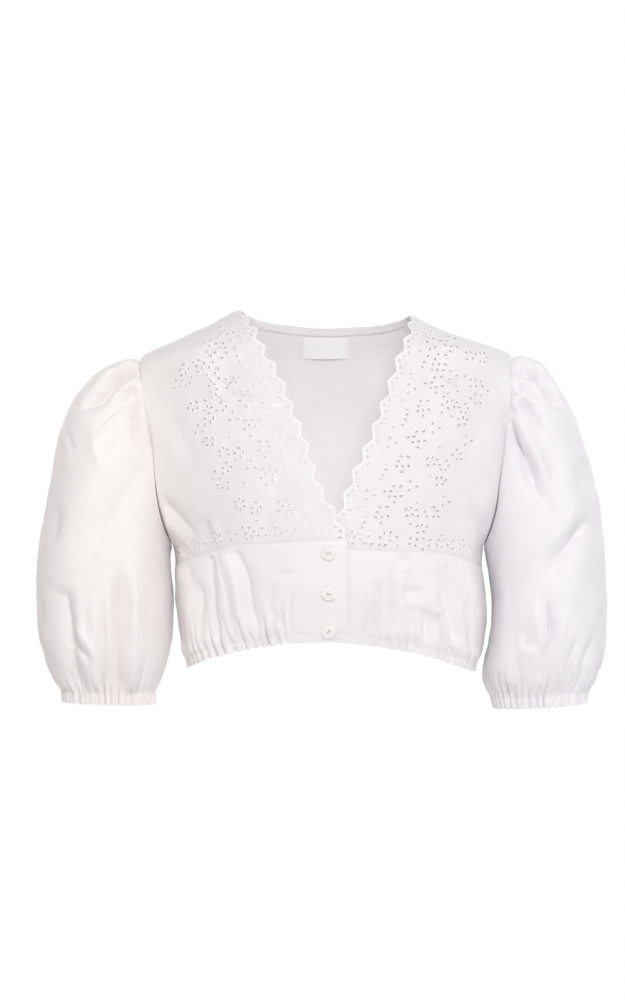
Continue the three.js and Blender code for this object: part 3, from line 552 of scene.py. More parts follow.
class Graph:
    """The nodes of one material."""

    def __init__(self, name: str) -> None:
        """Starts a material with an empty set of nodes."""
        self.material = bpy.data.materials.new(name)
        self.material.use_nodes = True
        self.tree = self.material.node_tree
        self.tree.nodes.clear()

    def node(
        self, kind: str, settings: dict[str, Any] | None = None,
        inputs: dict[str | int, Any] | None = None, output: str | int = 0,
    ) -> Wire:
        """Adds a node.

        Args:
            kind: the node's type.
            settings: its properties, and the stops of a colour ramp under "stops".
            inputs: values or wires for its sockets.
            output: which of its outputs is wanted.

        Returns:
            The wanted output.
        """
        node = self.tree.nodes.new(kind)
        for name, value in (settings or {}).items():
            if name == "stops":
                for element, (place, colour) in zip(node.color_ramp.elements, value):
                    element.position = place
                    element.color = colour
            else:
                setattr(node, name, value)
        for name, value in (inputs or {}).items():
            if isinstance(value, Wire):
                self.tree.links.new(value.socket, node.inputs[name])
            else:
                node.inputs[name].default_value = value
        return Wire(self, node.outputs[output])

    def place(self) -> Wire:
        """Adds the place in the object's own coordinates."""
        return self.node("ShaderNodeTexCoord", output="Object")

    def cloth(self) -> Wire:
        """Adds the flat place in the cloth."""
        return self.node("ShaderNodeUVMap", {"uv_map": "cloth"})

    def part(self, vector: Wire, axis: str) -> Wire:
        """Adds one axis of a vector."""
        return self.node("ShaderNodeSeparateXYZ", inputs={0: vector}, output=axis)

    def sine(self, value: Wire) -> Wire:
        """Adds the sine of a value."""
        return self.node("ShaderNodeMath", {"operation": "SINE"}, {0: value})

    def noise(self, vector: Wire, scale: float, **more: float) -> Wire:
        """Adds a noise texture, with more of its sockets by name."""
        return self.node("ShaderNodeTexNoise", inputs={"Vector": vector, "Scale": scale, **more})

    def spread(self, value: Wire, source: Span, target: Span = (0, 1)) -> Wire:
        """Maps a value's range onto another one."""
        return self.node("ShaderNodeMapRange", inputs={
            "Value": value, "From Min": source[0], "From Max": source[1],
            "To Min": target[0], "To Max": target[1],
        })

    def blend(self, factor: Wire, first: Colour | Wire, second: Colour | Wire) -> Wire:
        """Mixes two colours."""
        return self.node("ShaderNodeMix", {"data_type": "RGBA"}, {
            "Factor": factor, 6: first, 7: second,
        }, output=2)

    def scaled(self, colour: Wire, by: Wire) -> Wire:
        """Multiplies a colour by a value."""
        return self.node("ShaderNodeVectorMath", {"operation": "SCALE"}, {0: colour, "Scale": by})

    def bump(self, height: Wire, strength: float, distance: float, **more: Wire) -> Wire:
        """Turns a height into a Normal."""
        return self.node("ShaderNodeBump", inputs={
            "Strength": strength, "Distance": distance, "Height": height, **more,
        })

    def principled(self, sockets: dict[str, Any]) -> Wire:
        """Adds the Principled shader."""
        return self.node("ShaderNodeBsdfPrincipled", inputs=sockets)

    def finish(self, surface: Wire) -> bpy.types.Material:
        """Puts a shader on the output and returns the material."""
        output = self.tree.nodes.new("ShaderNodeOutputMaterial")
        self.tree.links.new(surface.socket, output.inputs["Surface"])
        return self.material


@dataclass(frozen=True)
class CottonFinish:
    """White cotton: woven grain, soft sheen, and painted light: a warm tint on the wearer's right that turns
    cool on the left.
    """

    name: str = "white_cotton"
    # painted light: the warm tint stands for warm light falling on the wearer's right, the cool tint for cool
    # light on the left
    warm_light_tint: Colour = (0.864, 0.823, 0.816, 1)
    cool_light_tint: Colour = (0.832, 0.810, 0.838, 1)
    # the span of X, in metres, over which the painted light turns from warm to cool
    turn: Span = (-0.18, 0.2)
    yarns: float = 2300
    slub: float = 900
    slub_stretch: float = 0.16
    grain: float = 0.10
    cloud: float = 9
    crumple: float = 0.3
    crumple_scale: float = 38
    roughness: float = 0.86
    sheen: float = 0.22
    stitched: bool = False
    silk: float = 2600
    silk_height: float = 1.6
    silk_shine: float = 0.22
    silk_glow: float = 0.13
    ground: float = 1.0

    def make(self) -> bpy.types.Material:
        """Returns the material."""
        graph = Graph(self.name)
        place, cloth = graph.place(), graph.cloth()
        # painted light: the colour turns from warm on the wearer's right to cool on the left across X
        painted_light_tone = graph.blend(graph.spread(graph.part(place, "X"), self.turn), self.warm_light_tint, self.cool_light_tint)
        cloud = graph.noise(place, self.cloud, Detail=3.0, Roughness=0.55)
        shade = graph.spread(cloud, (0.3, 0.7), (0.975, 1.01))
        warp = self.yarn(graph, cloth, (1, self.slub_stretch, 1))
        weft = self.yarn(graph, cloth, (self.slub_stretch, 1, 1))
        mottle = graph.spread(warp + weft, (0.6, 1.4), (0.985, 1.012))
        colour = graph.scaled(painted_light_tone, shade * mottle * self.ground)
        height = self.threads(graph, cloth) * 0.25 + (warp + weft) * 0.5
        rough = mottle * self.roughness
        if self.stitched:
            stitch = graph.node("ShaderNodeAttribute", {"attribute_name": "stitch"}, output="Fac")
            silk = graph.noise(place, self.silk, Detail=1.0)
            height = height * (1 - stitch) + silk * stitch * self.silk_height
            rough = rough - stitch * self.silk_shine
            colour = graph.scaled(colour, stitch * self.silk_glow + 1)
        creases = graph.noise(place, self.crumple_scale, Detail=4.0, Roughness=0.5, Distortion=0.7)
        soft = graph.bump(creases, self.crumple, 0.004)
        return graph.finish(graph.principled({
            "Base Color": colour, "Roughness": rough, "Sheen Weight": self.sheen,
            "Normal": graph.bump(height, self.grain, 0.0006, Normal=soft),
            "Sheen Roughness": 0.6, "Specular IOR Level": 0.25,
        }))

    def yarn(self, graph: Graph, cloth: Wire, stretch: tuple[float, float, float]) -> Wire:
        """Returns the unevenness of the yarns that run one way."""
        turned = graph.node("ShaderNodeMapping", inputs={"Vector": cloth, "Scale": stretch})
        return graph.noise(turned, self.slub, Detail=2.0, Roughness=0.6)

    def threads(self, graph: Graph, cloth: Wire) -> Wire:
        """Returns the height of a plain weave, over and under."""
        turns = self.yarns * math.pi
        return graph.sine(graph.part(cloth, "X") * turns) * graph.sine(graph.part(cloth, "Y") * turns)


@dataclass(frozen=True)
class ThreadFinish:
    """White sewing thread."""

    name: str = "sewing_thread"
    colour: Colour = (0.9, 0.885, 0.88, 1)
    dark: Colour = (0.8, 0.785, 0.78, 1)
    strands: float = 3200
    roughness: float = 0.6

    def make(self) -> bpy.types.Material:
        """Returns the material."""
        graph = Graph(self.name)
        twist = graph.noise(graph.place(), self.strands, Detail=1.0)
        return graph.finish(graph.principled({
            "Base Color": graph.blend(twist, self.dark, self.colour), "Roughness": self.roughness,
            "Normal": graph.bump(twist, 0.3, 0.0002), "Sheen Weight": 0.15,
        }))


@dataclass(frozen=True)
class PearlFinish:
    """Mother of pearl look: clouded cream with a soft shine."""

    name: str = "pearl_button"
    pale: Colour = (0.90, 0.875, 0.845, 1)
    grey: Colour = (0.79, 0.775, 0.75, 1)
    blush: Colour = (0.87, 0.82, 0.80, 1)
    clouds: float = 160
    bands: float = 70
    roughness: float = 0.22
    coat: float = 0.6

    def make(self) -> bpy.types.Material:
        """Returns the material."""
        graph = Graph(self.name)
        place = graph.place()
        cloud = graph.noise(place, self.clouds, Detail=4.0, Roughness=0.6, Distortion=1.6)
        bands = graph.noise(place, self.bands, Detail=2.0, Distortion=2.4)
        clouded = graph.blend(graph.spread(cloud, (0.35, 0.68)), self.grey, self.pale)
        return graph.finish(graph.principled({
            "Base Color": graph.blend(bands * 0.5, clouded, self.blush),
            "Roughness": cloud * 0.12 + self.roughness, "Normal": graph.bump(cloud, 0.08, 0.0003),
            "Coat Weight": self.coat, "Coat Roughness": 0.08,
        }))


@dataclass(frozen=True)
class SatinFinish:
    """Bare white satin ribbon with fine ribs."""

    name: str = "label_satin"
    colour: Colour = (0.93, 0.93, 0.94, 1)
    shade: Colour = (0.88, 0.88, 0.895, 1)
    ribs: float = 3600
    roughness: float = 0.38

    def make(self) -> bpy.types.Material:
        """Returns the material."""
        graph = Graph(self.name)
        cloth = graph.cloth()
        rib = graph.sine(graph.part(cloth, "X") * (self.ribs * math.pi))
        gleam = graph.noise(cloth, 120.0)
        return graph.finish(graph.principled({
            "Base Color": graph.blend(gleam, self.shade, self.colour),
            "Roughness": gleam * 0.1 + self.roughness, "Normal": graph.bump(rib, 0.15, 0.0002),
            "Sheen Weight": 0.1,
        }))


@dataclass(frozen=True)
class PaleFloorFinish:
    """Plain pale studio paper."""

    name: str = "pale_paper"
    colour: Colour = (0.9, 0.9, 0.9, 1)
    glow: float = 1.0

    def make(self) -> bpy.types.Material:
        """Returns the material, which glows for the camera alone and lights nothing."""
        graph = Graph(self.name)
        paper = graph.principled({
            "Base Color": self.colour, "Roughness": 0.9,
            "Normal": graph.bump(graph.noise(graph.place(), 60.0), 0.03, 0.001),
        })
        glow = graph.node("ShaderNodeEmission", inputs={"Strength": self.glow})
        seen = graph.node("ShaderNodeLightPath", output="Is Camera Ray")
        return graph.finish(graph.node("ShaderNodeMixShader", inputs={0: seen, 1: paper, 2: glow}))


@dataclass
class Wardrobe:
    """The finishes, each made once: one for each slot, and the thread."""

    finishes: dict[Slot, bpy.types.Material] = field(default_factory=lambda: {
        Slot.COTTON: CottonFinish().make(),
        Slot.EYELET: CottonFinish(name="eyelet_cotton", stitched=True, ground=0.95).make(),
        Slot.PEARL: PearlFinish().make(),
        Slot.SATIN: SatinFinish().make(),
    })
    thread: bpy.types.Material = field(default_factory=lambda: ThreadFinish().make())


def dress(piece: bpy.types.Object, finish: bpy.types.Material, nodes: Sequence[str] = ()) -> None:
    """Gives a piece its finish and its body, and hides the nodes that it stands for."""
    piece.data.materials.clear()
    piece.data.materials.append(finish)
    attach(piece, BODY)
    if nodes:
        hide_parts(*nodes)
    log.info("%s: %d faces", piece.name, len(piece.data.polygons))


def hang(
    cloth: Cloth, node: str, closet: Wardrobe, slot: Slot = Slot.COTTON,
) -> None:
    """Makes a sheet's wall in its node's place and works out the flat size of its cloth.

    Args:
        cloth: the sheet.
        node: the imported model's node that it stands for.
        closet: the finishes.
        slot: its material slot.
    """
    piece = cloth.wall(f"cloth_{node}")
    dress(piece, closet.finishes[slot], [node])
    places = cloth.corners.reshape(-1, 2)
    width, length = (np.maximum(places.max(axis=0) - places.min(axis=0), 10) * MM).tolist()
    corners = cloth.points[cloth.faces]
    first, second = corners[:, 2] - corners[:, 0], corners[:, -1] - corners[:, 1]


@dataclass
class Stitches:
    """Short raised stitches along lines, gathered into one mesh."""

    name: str
    length: float = 2.1
    pitch: float = 2.9
    width: float = 0.5
    height: float = 0.34
    vertices: list[Array] = field(default_factory=list)
    faces: list[Array] = field(default_factory=list)
    count: int = 0

    RINGS = ((-0.5, 0.0), (-0.3, 0.8), (0.0, 1.0), (0.3, 0.8), (0.5, 0.0))
    SIDES = 5

    def run(self, points: Array, normals: Array, lift: float = 0.45) -> None:
        """Sews along a line of points.

        Args:
            points: the line.
            normals: the cloth's outward directions along it.
            lift: how far above the line's points the thread lies.
        """
        run = run_lengths(points)
        places = np.arange(self.pitch / 2, run[-1], self.pitch)
        here, ahead = follow(places, run, points), follow(places + 0.5, run, points)
        self.sew(here, ahead, follow(places, run, normals), lift)

    def sew(self, places: Array, ahead: Array, normals: Array, lift: float) -> None:
        """Adds one stitch at each place, pointing ahead."""
        along, out = unit(ahead - places), unit(normals)
        side = unit(np.cross(along, out))
        angles = np.linspace(0, 2 * np.pi, self.SIDES, endpoint=False)
        middle = places + out * lift
        for place, way, up, across in zip(middle, along, out, side):
            ring_points = [
                place + way * (self.length * far)
                + wide * (across * math.cos(angle) * self.width + up * math.sin(angle) * self.height) / 2
                for far, wide in self.RINGS[1:-1] for angle in angles
            ]
            tips = [place + way * (self.length * far) for far, _ in (self.RINGS[0], self.RINGS[-1])]
            self.vertices.append(np.array(ring_points + tips))
            self.faces.append(self.pattern() + self.count)
            self.count += len(ring_points) + 2

    def pattern(self) -> Array:
        """Returns the triangles of one stitch."""
        rings, sides = len(self.RINGS) - 2, self.SIDES
        triangles = []
        for k in range(sides):
            after = (k + 1) % sides
            triangles.append((rings * sides, k, after))
            for ring in range(rings - 1):
                low, high = ring * sides, (ring + 1) * sides
                triangles.append((low + k, high + k, high + after))
                triangles.append((low + k, high + after, low + after))
            last = (rings - 1) * sides
            triangles.append((rings * sides + 1, last + after, last + k))
        return np.array(triangles)

    def make(self, finish: bpy.types.Material) -> None:
        """Makes the mesh of all the stitches and dresses it."""
        mesh = bpy.data.meshes.new(self.name)
        mesh.from_pydata((np.concatenate(self.vertices) * MM).tolist(), [],
                         np.concatenate(self.faces).tolist())
        mesh.update()
        shell = bmesh.new()
        shell.from_mesh(mesh)
        bmesh.ops.recalc_face_normals(shell, faces=shell.faces)
        shell.to_mesh(mesh)
        shell.free()
        mesh.shade_smooth()
        dress(link(self.name, mesh), finish)


@dataclass(frozen=True)
class FrontCut:
    """How one front is cut: its edge, seams, teeth and gathers."""

    side: Side
    neck: Curve
    bust: Curve
    edge: float
    lap: float
    seam_top: float
    seam_hem: float
    princess: float
    teeth: int
    plain: float
    gathers: tuple[int, int]
    hem: Curve = Curve((
        (-150.5, -379), (-137, -370.5), (-115, -364), (-88, -356.5), (-61, -351.5), (-37, -348),
        (0, -347), (38, -351), (75, -357), (96, -361.5), (118, -367.5), (135, -374), (157, -383),
    ))
    tooth_depth: float = 7
    casing: float = 9

    def place(self, share: Array, down: Array) -> tuple[Array, Array]:
        """Returns X and Z at shares across the front and down from the bust seam to the hem."""
        share, down = np.broadcast_arrays(np.asarray(share, float), np.asarray(down, float))
        sign, width = self.side.value, FORM.outline(self.side)
        z = mix(self.bust(0), self.hem(0), down)
        for _ in range(4):
            edge = -np.arcsin((sign * -self.edge) / width(z))
            seam = np.radians(mix(self.seam_top, self.seam_hem, down))
            inner = mix(edge, seam, share / self.princess)
            outer = mix(seam, np.pi / 2, (share - self.princess) / (1 - self.princess))
            x = sign * width(z) * np.sin(np.where(share <= self.princess, inner, outer))
            z = mix(self.bust(x), self.hem(x), down)
        return x, z

    def neck_line(self, shares: Array, samples: int = 160) -> Array:
        """Returns the neck edge as X and Z, from the bust seam up to the shoulder, by length."""
        heights = [row[0] for row in self.neck.points]
        t = np.linspace(0, 1, samples + 1)
        z = mix(min(heights), max(heights), 1 - (1 - t) ** 2)
        x = self.neck(z)
        line = np.stack([x, -FORM.depth(x, z, Face.FRONT), z], axis=-1)
        return at_lengths(line, shares)[:, [0, 2]]

    def phase(self, share: Array) -> Array:
        """Returns the place along the hem, counted in gathers, which is below 0 on the placket."""
        inner, outer = self.gathers
        near = inner * (share - self.plain) / (self.princess - self.plain)
        far = inner + outer * (share - self.princess) / (1 - self.princess)
        return np.where(share <= self.princess, near, far)


RIGHT_CUT = FrontCut(
    side=Side.RIGHT, edge=19, lap=1, seam_top=44.7, seam_hem=35.6, princess=0.45, teeth=13,
    plain=0.225, gathers=(6, 10),
    neck=Curve((
        (6.6, -95), (-17, -78), (-37, -70), (-68, -51.5), (-98, -39.5), (-138, -24), (-178, -12),
        (-215, 7.5), (-241, 19),
    )),
    bust=Curve(((-165, -268), (-147, -262.6), (-118, -252.3), (-87, -245.6), (19, -241))),
)
LEFT_CUT = FrontCut(
    side=Side.LEFT, edge=-14, lap=-1, seam_top=60, seam_hem=67, princess=0.7, teeth=12,
    plain=0.2, gathers=(13, 5),
    neck=Curve((
        (0.3, 89), (-23, 85), (-42, 76), (-61, 69.5), (-96, 57.5), (-136, 42.5), (-176, 24.5),
        (-212, 10.8), (-230, 2.5), (-249.5, -14),
    )),
    bust=Curve((
        (-14, -249.5), (22, -250.5), (67, -252.8), (110.6, -254.2), (144, -261.4), (167, -270),
    )),
)

BUST_CREASES = (
    Crease(((-173, -204), (-155, -222), (-136, -241)), 2.6, 6, 0.6, (1, 0)),
    Crease(((-133, -215), (-125, -240)), 1.6, 5, -0.5, (0, 0.6)),
    Crease(((154, -209), (164, -222), (168, -240)), 2.4, 6, 0.5, (0.4, 0.4)),
    Crease(((-168, -112), (-150, -140), (-140, -165)), 1.6, 10, 0.4, (0.8, 0)),
    Crease(((165, -112), (150, -142), (142, -170)), 1.6, 10, -0.4, (0.8, 0)),
    Crease(((-118, -24), (-108, -60), (-96, -110)), 1.3, 12, 0.5, (0.6, 0)),
    Crease(((112, -26), (108, -62), (98, -116)), 1.3, 12, -0.5, (0.6, 0)),
    Crease(((60, -150), (72, -200), (78, -238)), 0.9, 14, 0.4, (0, 0.3)),
    Crease(((-44, -160), (-60, -205), (-66, -236)), 0.9, 14, 0.4, (0, 0.3)),
)

WAIST_CREASES = (
    Crease(((-137, -282), (-135, -303), (-136, -331)), 3.0, 6, 0.5, (0, 0.6)),
    Crease(((-124, -261), (-120, -319), (-113, -350)), 2.4, 5, -0.5, (0.8, 0.7)),
    Crease(((-97, -256), (-87, -277), (-82, -313), (-69, -348)), 3.8, 6, 0.6, (0.8, 0.8)),
    Crease(((-56, -277), (-28, -273)), 1.2, 4, -0.5),
    Crease(((-66, -308), (-60, -297), (-56, -283)), 1.6, 4, 0.5),
    Crease(((-58, -310), (-45, -338)), 1.5, 4.5, 0.5, (0, 0.7)),
    Crease(((-38, -288), (-40, -318), (-38, -344)), 0.9, 2.2, 0.9, (0, 1)),
    Crease(((-150, -262), (-146, -290)), 1.6, 6, 0.5, (0.8, 0)),
    Crease(((47, -277), (52, -292), (49, -338)), 3.8, 5, 0.6, (0, 0.9)),
    Crease(((69, -270), (65, -282), (63, -334)), 3.4, 5, -0.5, (0.3, 0.7)),
    Crease(((69, -261), (90, -263)), 2.0, 4, 0.6),
    Crease(((74, -293), (88, -296), (101, -290)), 2.4, 6, 0.5),
    Crease(((99, -310), (104, -326), (103, -345)), 3.4, 4.5, 0.6, (0, 0.9)),
    Crease(((106, -320), (114, -322), (118, -348)), 3.2, 4, -0.5, (0, 0.9)),
    Crease(((116, -274), (125, -271), (141, -275)), 2.2, 3.5, 0.6),
    Crease(((117, -277), (123, -303), (132, -342)), 3.2, 5.5, 0.5, (0.2, 0.8)),
    Crease(((147, -300), (153, -350)), 2.6, 5, 0.5, (0, 0.8)),
    Crease(((34, -262), (36, -300), (33, -344)), 0.8, 2.5, 0.8, (1, 1)),
)

BACK_CREASES = (
    Crease(((-96, -240), (-84, -290), (-78, -340)), 3.4, 9, 0.5, (0, 0.7)),
    Crease(((-60, -262), (-54, -300), (-56, -340)), 2.2, 6, -0.5, (0, 0.8)),
    Crease(((-34, -270), (-30, -334)), 2.8, 8, 0.5, (0, 0.7)),
    Crease(((8, -256), (4, -300), (10, -338)), 2.0, 6, 0.5, (0, 0.8)),
    Crease(((46, -252), (44, -290), (38, -338)), 3.4, 9, -0.5, (0, 0.7)),
    Crease(((76, -280), (72, -340)), 2.0, 6, 0.5, (0, 0.8)),
    Crease(((104, -240), (98, -290), (92, -342)), 3.0, 9, 0.5, (0, 0.7)),
    Crease(((-124, -262), (-118, -345)), 2.4, 7, 0.5, (0, 0.7)),
    Crease(((132, -266), (128, -350)), 2.4, 7, -0.5, (0, 0.7)),
    Crease(((-170, -206), (-140, -222), (-104, -228)), 2.6, 9, 0.5, (1, 0)),
    Crease(((168, -208), (136, -224), (100, -232)), 2.6, 9, -0.5, (1, 0)),
    Crease(((-176, -120), (-146, -140), (-118, -152)), 1.8, 12, 0.4, (0.8, 0)),
    Crease(((174, -118), (146, -140), (116, -150)), 1.8, 12, -0.4, (0.8, 0)),
    Crease(((-40, -30), (-34, -70), (-38, -118)), 1.0, 14, 0.5, (0.5, 0)),
    Crease(((52, -28), (46, -74), (48, -124)), 1.0, 14, -0.5, (0.5, 0)),
)


def seam_dip(away: Array, depth: float = 0.55, width: float = 1.6) -> Array:
    """Returns how far cloth sinks towards a sewn seam."""
    return -depth * np.exp(-(away / width) ** 2)


@dataclass
class LowerFront:
    """One front below the bust seam: two panels that meet at the princess seam, and the hem casing."""

    cut: FrontCut
    rows: int = 62
    columns: tuple[int, int] = (72, 92)
    casing_rows: int = 9
    cloth: float = 0.8
    casing_cloth: float = 1.9
    gather: Gather = Gather(height=2.6, reach=(12, 56), seed=11)
    crease_share: float = 1.9
    placket: Span = (30.4, 42)
    side_fade: Span = (1, 0.93)

    def __post_init__(self) -> None:
        """Sets the words that the pieces' names start with."""
        self.label = self.cut.side.name.lower()

    def shares(self, side_panel: bool) -> Array:
        """Returns the shares of one panel's columns."""
        if side_panel:
            return np.linspace(self.cut.princess, 1, self.columns[1] + 1)
        return np.linspace(0, self.cut.princess, self.columns[0] + 1)

    def casing_share(self, share: Array) -> Array:
        """Returns the share of the height at which the hem casing starts."""
        top, low = self.cut.place(share, 0.0)[1], self.cut.place(share, 1.0)[1]
        return 1 - self.cut.casing / (top - low)

    def spots(self, share: Array, down: Array) -> tuple[Array, Array]:
        """Returns the cloth's middle points and outward directions at places on the front."""
        x, z = self.cut.place(share, down)
        points, normals = FORM.place(x, z, Face.FRONT, self.cut.lap)
        start = self.casing_share(share)
        length = self.cut.bust(x) - self.cut.hem(x)
        above = np.maximum(start - down, 0) * length
        phase = self.cut.phase(share)
        gather = self.gather.shift(phase, above) * ramp(phase, (-0.4, 0.6))
        crease = self.crease_share * sum(fold.shift(x, z) for fold in WAIST_CREASES) * ramp(above, (1, 18))
        clear = ramp(np.abs(x), self.placket) * ramp(down, (0, 0.06)) * ramp(share, self.side_fade)
        uneven = 0.35 * ripple(points, 34, 5) + 0.12 * ripple(points, 12, 6)
        calm = mix(0.35, 1, ramp(np.abs(x), self.placket))
        to_seam = np.abs(share - self.cut.princess) * 190
        dips = seam_dip(down * length, 0.9, 2) + seam_dip(to_seam, 0.9, 1.8) + seam_dip(above, 0.6, 1.5)
        out = (gather + crease) * clear + uneven * calm * ramp(down, (0, 0.1)) + dips
        points = points + normals * out[..., None]
        points[..., 1] = np.where(share >= 1, -SEAM_GAP, points[..., 1])
        drawn = self.gather.scallop(phase, (down - start) / (1 - start))
        points[..., 2] += drawn * ramp(phase, (-0.4, 0.6)) * clear
        return points, normals

    def build(self, closet: Wardrobe, seams: Stitches) -> None:
        """Makes the panels, their hem casing and their top stitching."""
        nodes = (f"front_{self.label}_centre_lower", f"front_{self.label}_side_lower")
        for side_panel, node in enumerate(nodes):
            share = self.shares(bool(side_panel))
            start = self.casing_share(share)
            down = np.linspace(0, 1, self.rows + 1)[:, None] * start
            points, normals = self.spots(np.broadcast_to(share, down.shape), down)
            panel = grid_cloth(points, normals, thickness=self.cloth)
            hang(panel, node, closet)
            self.sew_seams(points, normals, seams, bool(side_panel))
        self.build_casing(closet)

    def build_casing(self, closet: Wardrobe) -> None:
        """Makes the hem casing, puffed a little by its elastic."""
        share = np.concatenate([self.shares(False), self.shares(True)[1:]])
        start = self.casing_share(share)
        t = np.linspace(0, 1, self.casing_rows + 1)[:, None]
        points, normals = self.spots(np.broadcast_to(share, (len(t), len(share))), mix(start, 1, t))
        thick = mix(self.cloth, self.casing_cloth, np.sin(np.pi * (0.06 + 0.7 * t)))
        hang(grid_cloth(points, normals, thickness=thick), f"hem_casing_front_{self.label}", closet)

    def sew_seams(self, points: Array, normals: Array, seams: Stitches, side_panel: bool) -> None:
        """Sews the hem's line, the bust seam's line and the princess seam's line."""
        for row in (-1, 2):
            seams.run(points[row], normals[row])
        column = 2 if side_panel else 3
        seams.run(points[::2, column], normals[::2, column])


@dataclass
class Back:
    """The back in one panel, with its hem casing and the binding inside its neck."""

    hem: Curve = Curve((
        (-150.5, -379), (-110, -366), (-60, -356), (0, -352), (60, -357), (115, -369), (157, -383),
    ))
    neck: Curve = Curve((
        (-95, 6.6), (-75, -2.6), (-50, -7.4), (0, -10.6), (50, -8.4), (75, -4.6), (89, 0.3),
    ))
    shoulder: float = 5 / 28
    crowding: float = 0.75
    columns: int = 224
    side_rows: int = 36
    rim_rows: int = 108
    casing: float = 9
    casing_rows: int = 8
    cloth: float = 0.8
    casing_cloth: float = 1.9
    gather: Gather = Gather(height=2.6, reach=(14, 60), seed=31)
    crease_share: float = 1.7
    gathers: int = 28
    binding_width: float = 8
    binding_reach: float = 86
    binding_cloth: float = 1.0

    def top(self, u: Array) -> Array:
        """Returns the top edge as X and Z, over both shoulders and the neck."""
        right = FORM.shoulder(Side.RIGHT, np.clip(1 - u / self.shoulder, 0, 1))
        left = FORM.shoulder(Side.LEFT, np.clip((u - 1 + self.shoulder) / self.shoulder, 0, 1))
        t = np.clip((u - self.shoulder) / (1 - 2 * self.shoulder), 0, 1)
        crowded = mix(t, 0.5 - 0.5 * np.cos(np.pi * t), self.crowding)
        x = mix(self.neck.points[0][0], self.neck.points[-1][0], crowded)
        middle = np.stack([x, self.neck(x)], axis=-1)
        top = np.where((u < self.shoulder)[:, None], right, middle)
        return np.where((u > 1 - self.shoulder)[:, None], left, top)

    def bottom(self, u: Array) -> Array:
        """Returns the hem as X and Z."""
        angle = np.radians(mix(-90, 90, u))
        width = np.where(angle < 0, -self.hem.points[0][0], self.hem.points[-1][0])
        x = width * np.sin(angle)
        return np.stack([x, self.hem(x)], axis=-1)

    def rows(self) -> tuple[Array, Array]:
        """Returns how low on the side seam each row ends, and its angle on the armhole's rim."""
        low = np.concatenate([np.linspace(1, 0, self.side_rows, endpoint=False),
                              np.zeros(self.rim_rows + 1)])
        angle = np.concatenate([np.full(self.side_rows, np.pi),
                                np.linspace(np.pi, 0, self.rim_rows + 1)])
        return low, angle

    def edge(self, side: Side, low: Array, angle: Array) -> Array:
        """Returns the side seam and the armhole's rim of a side as points."""
        hem_x = self.hem.points[0 if side is Side.RIGHT else -1][0]
        z = mix(FORM.armhole(side).bottom, float(self.hem(hem_x)), low)
        seam = np.stack([side.value * FORM.outline(side)(z), np.zeros_like(z), z], axis=-1)
        rim = FORM.rim(side, Face.BACK, angle)[0]
        return np.where((low > 0)[:, None], seam, rim)

    def spots(self) -> tuple[Array, Array]:
        """Returns the whole back's middle points and outward directions, from the hem up."""
        low, angle = self.rows()
        u = np.linspace(0, 1, self.columns + 1)
        first, last = (self.edge(side, low, angle) for side in (Side.RIGHT, Side.LEFT))
        up = run_lengths(last)
        up = (up / up[-1])[:, None, None]
        bottom, top = self.bottom(u)[None], self.top(u)[None]
        first_flat, last_flat = first[:, None, [0, 2]], last[:, None, [0, 2]]
        across = u[None, :, None]
        flat = (
            mix(bottom, top, up) + mix(first_flat, last_flat, across)
            - mix(mix(bottom[:, :1], bottom[:, -1:], across), mix(top[:, :1], top[:, -1:], across), up)
        )
        x, z = flat[..., 0], flat[..., 1]
        points, normals = FORM.place(x, z, Face.BACK)
        height = z - self.hem(x)
        to_side = np.minimum(u, 1 - u)[None] * np.ones_like(x)
        clear = ramp(to_side, (0, 0.05))
        gather = self.gather.shift(u[None] * self.gathers, np.maximum(height - self.casing, 0))
        crease = self.crease_share * sum(fold.shift(x, z) for fold in BACK_CREASES) * ramp(height, (10, 30))
        uneven = 0.4 * ripple(points, 40, 15) + 0.12 * ripple(points, 13, 16)
        seam = seam_dip(height - self.casing, 0.35, 1.2)
        out = (gather + crease + uneven) * clear + seam
        points = points + normals * out[..., None]
        points[..., 2] += self.gather.scallop(u[None] * self.gathers, 1 - height / self.casing) * clear
        for column, side in ((0, Side.RIGHT), (-1, Side.LEFT)):
            self.fit_rim(points, normals, column, side, low, angle)
        points[-1, :, 1] = np.where(np.minimum(u, 1 - u) <= self.shoulder, SEAM_GAP, points[-1, :, 1])
        return points, normals

    def fit_rim(
        self, points: Array, normals: Array, column: int, side: Side, low: Array, angle: Array,
    ) -> None:
        """Sets the side column on the side seam and the armhole's rim, and turns its directions."""
        rim, radial, turn = FORM.rim(side, Face.BACK, angle)
        on_rim = low == 0
        rim[:, 0] -= side.value * RIM_GAP
        points[on_rim, column] = rim[on_rim]
        normals[on_rim, column] = FORM.turned(side, radial, turn, 1)[on_rim]
        points[~on_rim, column, 1] = SEAM_GAP

    def build(self, closet: Wardrobe, seams: Stitches) -> None:
        """Makes the back, its casing and its binding."""
        points, normals = self.spots()
        run = run_lengths(points, axis=0)
        panel, panel_normals = self.from_height(points, normals, run, self.casing)
        cloth = grid_cloth(panel, panel_normals, thickness=self.cloth)
        hang(cloth, "back_panel", closet)
        seams.run(panel[0], panel_normals[0])
        t = np.linspace(0, 1, self.casing_rows + 1)[:, None] * self.casing
        low, low_normals = self.resample(points, normals, run, np.broadcast_to(t, (len(t), run.shape[1])))
        thick = mix(self.casing_cloth, self.cloth, ramp(t / self.casing, (0.35, 1)))
        hang(grid_cloth(low, low_normals, thickness=thick), "hem_casing_back", closet)
        self.build_binding(points, normals, run, closet, seams)

    def resample(self, points: Array, normals: Array, run: Array, goals: Array) -> tuple[Array, Array]:
        """Returns points and directions at lengths along each column."""
        out, ways = [], []
        for j in range(points.shape[1]):
            out.append(follow(goals[:, j], run[:, j], points[:, j]))
            ways.append(follow(goals[:, j], run[:, j], normals[:, j]))
        return np.stack(out, axis=1), unit(np.stack(ways, axis=1))

    def from_height(self, points: Array, normals: Array, run: Array, start: float) -> tuple[Array, Array]:
        """Returns the same grid, with its first row moved up to a length along each column."""
        return self.resample(points, normals, run, start + run / run[-1:] * (run[-1:] - start))

